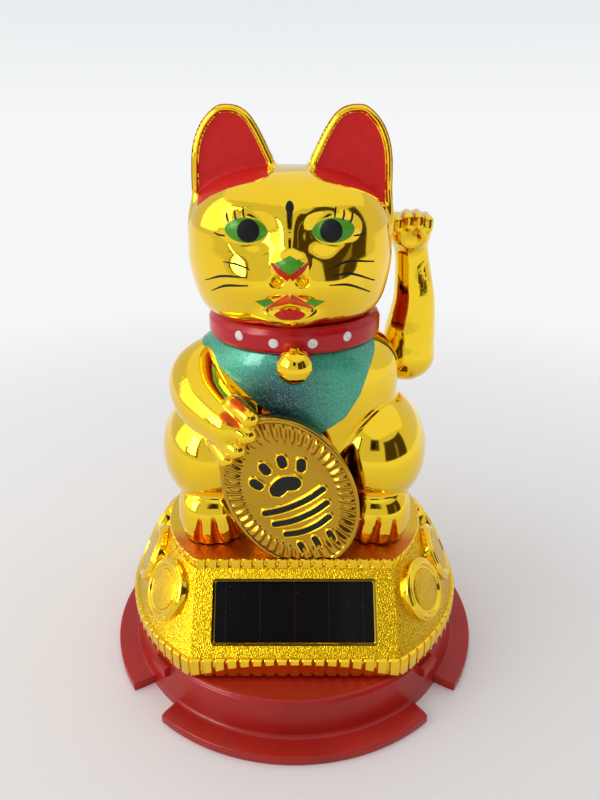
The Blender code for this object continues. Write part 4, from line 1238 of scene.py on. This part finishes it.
def dress_nodes():
    """Better finishes for the CAD nodes that stay in sight or inside."""
    steel = metal("zinc screw", (0.55, 0.55, 0.57), 0.25)
    finishes = {
        "bottom_cover": RED_PLASTIC, "solar_cell": solar_glass(), "circuit_board": board_green(),
        "cell_wire_red": plastic("red wire", (0.5, 0.02, 0.02), 0.4),
        "cell_wire_black": plastic("black wire", (0.012, 0.012, 0.014), 0.4),
        "chip_blob": plastic("epoxy", (0.01, 0.01, 0.012), 0.25), "capacitor": plastic("sleeve", (0.02, 0.03, 0.08), 0.3),
        "coil_bobbin": plastic("nylon", (0.72, 0.7, 0.64), 0.45), "swing_frame": plastic("acetal", (0.74, 0.73, 0.7), 0.42),
        "pendulum_lever": plastic("acetal lever", (0.7, 0.7, 0.68), 0.4), "pivot_shaft": metal("ground steel", (0.6, 0.6, 0.6), 0.15),
        "coil_winding": metal("enamelled copper", (0.72, 0.28, 0.1), 0.3, 900, (1, 1, 14)),
        "magnet": plastic("ferrite", (0.05, 0.05, 0.052), 0.6, depth=0.00004),
    }
    for name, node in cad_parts.items():
        finish = finishes.get(name, steel if "screw" in name else None)
        if finish and node.material_slots:
            node.material_slots[0].material = finish


# ---------------------------------------------------------------- stage, light, camera

BACKDROP = (0.92, 0.93, 0.935)
BACKDROP_TOP = (0.78, 0.81, 0.835)


def stage_floor():
    """Plain pale floor that fades into the backdrop colour far from the object."""
    bpy.ops.mesh.primitive_circle_add(vertices=96, radius=6.0, fill_type="NGON")
    floor = bpy.context.object
    floor.name = "floor"
    made, tree, node = shader("pale floor", (0.86, 0.835, 0.825), 0.8)
    place_node = add_node(tree, "ShaderNodeTexCoord")
    reach = add_node(tree, "ShaderNodeVectorMath", operation="LENGTH")
    tree.links.new(place_node.outputs["Object"], reach.inputs[0])
    glow = add_node(tree, "ShaderNodeEmission")
    glow.inputs["Color"].default_value = (*BACKDROP, 1)
    mix = add_node(tree, "ShaderNodeMixShader")
    tree.links.new(ramp(tree, reach.outputs["Value"], 0.07, 0.3), mix.inputs[0])
    tree.links.new(node.outputs[0], mix.inputs[1])
    tree.links.new(glow.outputs[0], mix.inputs[2])
    tree.links.new(mix.outputs[0], tree.nodes["Material Output"].inputs["Surface"])
    bump(tree, node, noise(tree, 40, 2), 0.0002, 0.2)
    floor.data.materials.append(made)


def math_node(tree, operation, first, second=None):
    node = add_node(tree, "ShaderNodeMath", operation=operation)
    for socket, value in zip(node.inputs, (first, second)):
        if value is None:
            continue
        if isinstance(value, (int, float)):
            socket.default_value = value
        else:
            tree.links.new(value, socket)
    return node.outputs[0]


def room_patch(tree, azimuth, height, window, soft):
    """1 inside a rectangle of directions: azimuth from the front and elevation, in degrees."""
    left, right, low, high = window
    inside = [ramp(tree, azimuth, left - soft, left + soft), ramp(tree, azimuth, right + soft, right - soft),
              ramp(tree, height, low - soft, low + soft), ramp(tree, height, high + soft, high - soft)]
    return math_node(tree, "MULTIPLY", math_node(tree, "MULTIPLY", *inside[:2]), math_node(tree, "MULTIPLY", *inside[2:]))


def room():
    """Pale room with a darker side to the front right, seen only in reflections; plain backdrop for the camera."""
    world = bpy.data.worlds.new("room")
    bpy.context.scene.world = world
    world.use_nodes = True
    tree = world.node_tree
    tree.nodes.clear()
    where = add_node(tree, "ShaderNodeTexCoord")
    split = add_node(tree, "ShaderNodeSeparateXYZ")
    tree.links.new(where.outputs["Generated"], split.inputs["Vector"])
    x, y, z = split.outputs
    azimuth = math_node(tree, "DEGREES" , math_node(tree, "ARCTAN2", x, math_node(tree, "MULTIPLY", y, -1.0)))
    height = math_node(tree, "DEGREES", math_node(tree, "ARCSINE", z))
    colour = (0.96, 0.97, 1.0)
    socket = None
    patches = [((22, 78, -9, 40), 1.2, (0.085, 0.06, 0.045)), ((50, 56, -4, 30), 0.8, (0.35, 0.3, 0.26)),
               ((-10.5, 10.5, 24, 47), 1.8, (0.025, 0.02, 0.016)), ((4.9, 6.6, 27, 44), 0.7, (0.2, 0.19, 0.18)),
               ((-104, -70, 4, 47), 0.8, (2.2, 2.25, 2.3)), ((-67, -37, 5, 45), 0.6, (0.05, 0.04, 0.03))]
    for window, soft, tint in patches:
        mix = tree.nodes.new("ShaderNodeMix")
        mix.data_type = "RGBA"
        if socket is None:
            mix.inputs["A"].default_value = (*colour, 1)
        else:
            tree.links.new(socket, mix.inputs["A"])
        mix.inputs["B"].default_value = (*tint, 1)
        tree.links.new(room_patch(tree, azimuth, height, window, soft), mix.inputs["Factor"])
        socket = mix.outputs["Result"]
    light, plain, glare = [add_node(tree, "ShaderNodeBackground") for _ in range(3)]
    tree.links.new(socket, light.inputs["Color"])
    light.inputs["Strength"].default_value = 0.76
    sky = tree.nodes.new("ShaderNodeMix")
    sky.data_type = "RGBA"
    sky.inputs["A"].default_value = (*BACKDROP, 1)
    sky.inputs["B"].default_value = (*BACKDROP_TOP, 1)
    tree.links.new(ramp(tree, height, 0, 11), sky.inputs["Factor"])
    tree.links.new(sky.outputs["Result"], plain.inputs["Color"])
    path, mix = add_node(tree, "ShaderNodeLightPath"), add_node(tree, "ShaderNodeMixShader")
    pane = room_patch(tree, azimuth, height, (-64, -42, 8, 41), 0.8)
    shine = math_node(tree, "MULTIPLY", pane, path.outputs["Is Glossy Ray"])
    tree.links.new(math_node(tree, "MULTIPLY", shine, 11.0), glare.inputs["Strength"])
    both_lights = add_node(tree, "ShaderNodeAddShader")
    tree.links.new(light.outputs[0], both_lights.inputs[0])
    tree.links.new(glare.outputs[0], both_lights.inputs[1])
    tree.links.new(path.outputs["Is Camera Ray"], mix.inputs[0])
    tree.links.new(both_lights.outputs[0], mix.inputs[1])
    tree.links.new(plain.outputs[0], mix.inputs[2])
    tree.links.new(mix.outputs[0], add_node(tree, "ShaderNodeOutputWorld").inputs["Surface"])


def lamp(name, location, target, size, power, colour=(1, 1, 1)):
    data = bpy.data.lights.new(name, "AREA")
    data.shape = "RECTANGLE"
    data.size, data.size_y = size
    data.energy = power
    data.color = colour
    made = bpy.data.objects.new(name, data)
    made.location = location
    made.rotation_euler = (Vector(target) - Vector(location)).to_track_quat("-Z", "Y").to_euler()
    bpy.context.scene.collection.objects.link(made)


def camera():
    data = bpy.data.cameras.new("camera")
    data.lens, data.sensor_width = 29.19, 36.0
    data.shift_x = 0.0069
    data.clip_start, data.clip_end = 0.005, 20.0
    made = bpy.data.objects.new("camera", data)
    made.location = (0, -0.1277, 0.1122)
    made.rotation_euler = (math.radians(66.8), 0, 0)
    bpy.context.scene.collection.objects.link(made)
    bpy.context.scene.camera = made


# ---------------------------------------------------------------- build

GOLD_MIRROR = gold_plating("bright gold plating")[0]
# the coin's plating is the darker copy of the gold, painted shade
COIN_PLATING = gold_plating("coin gold plating", 0.14, 0.00005, SHADED_COIN_GOLD, (0.52, 0.28, 0.009))[0]
SAND_GOLD = sand_gold("sanded gold plating")[0]
BOSS_GOLD = sand_gold("grained gold plating", 6000.0, 0.0001)[0]


def platform_gold():
    """Sanded gold whose front strip is tinted orange: partly overspray, partly a painted reflection of the orange toes.
    """
    made, tree, node = sand_gold("platform gold", 4200.0, 0.00014)
    place_node = add_node(tree, "ShaderNodeTexCoord")
    split = add_node(tree, "ShaderNodeSeparateXYZ")
    tree.links.new(place_node.outputs["Object"], split.inputs["Vector"])
    # orange toward the front: overspray plus a painted reflection of the orange toes
    blend_colour(tree, node, ramp(tree, split.outputs["Y"], -0.009, -0.013), (0.62, 0.17, 0.012))
    return made


PLATFORM_GOLD = platform_gold()
FIGURE_GOLD, figure_tree, figure_node = gold_plating("figure gold plating")
painted(FIGURE_GOLD, figure_tree, figure_node, "toes", orange_wash, 0.25)
painted(FIGURE_GOLD, figure_tree, figure_node, "bib", glitter_teal, 0.05)
HEAD_GOLD, head_tree, head_node = gold_plating("head gold plating")
painted(HEAD_GOLD, head_tree, head_node, "ears", red_enamel, 0.05)
ARM_GOLD, arm_tree, arm_node = gold_plating("arm gold plating")
painted(ARM_GOLD, arm_tree, arm_node, "toes", orange_wash, 0.25)
RED_PLASTIC = plastic("red plastic", (0.45, 0.014, 0.008), 0.27, 0.18, Specular_IOR_Level=0.35,
                      Subsurface_Weight=0.12, Subsurface_Scale=0.002)
COLLAR_RED = plastic("collar red", (0.52, 0.007, 0.014), 0.22, 0.1, Specular_IOR_Level=0.3)
WHITE_PAINT = paint_material("white paint", (0.85, 0.83, 0.82))
BLACK_PAINT = plastic("black paint", (0.008, 0.007, 0.007), 0.5, 0.3, 2600.0, 0.00003, Specular_IOR_Level=0.2)
COIN_BLACK = plastic("black coin paint", (0.012, 0.010, 0.009), 0.5, 0.3, 3200.0, 0.00008, Specular_IOR_Level=0.3)
GREEN_PAINT = paint_material("green paint", (0.085, 0.36, 0.012), 0.3)
RED_PAINT = paint_material("red paint", (0.62, 0.012, 0.008), 0.34)
ORANGE_PAINT = paint_material("orange paint", (0.80, 0.085, 0.008), 0.34, 0.2)

camera()
stage_floor()
room()
lamp("window", (-0.34, -0.22, 0.30), (0, 0, 0.06), (0.22, 0.26), 0.4, (1.0, 0.99, 0.97))
lamp("ceiling", (0.10, 0.10, 1.1), (0, 0, 0.05), (1.8, 1.8), 2.2)
bpy.context.scene.view_settings.view_transform = "Standard"

red_base()
gold_base()
coin_bosses()
body_halves()
head_halves()
wave_arm()
face_paint()
collar()
bell()
coin()
dress_nodes()
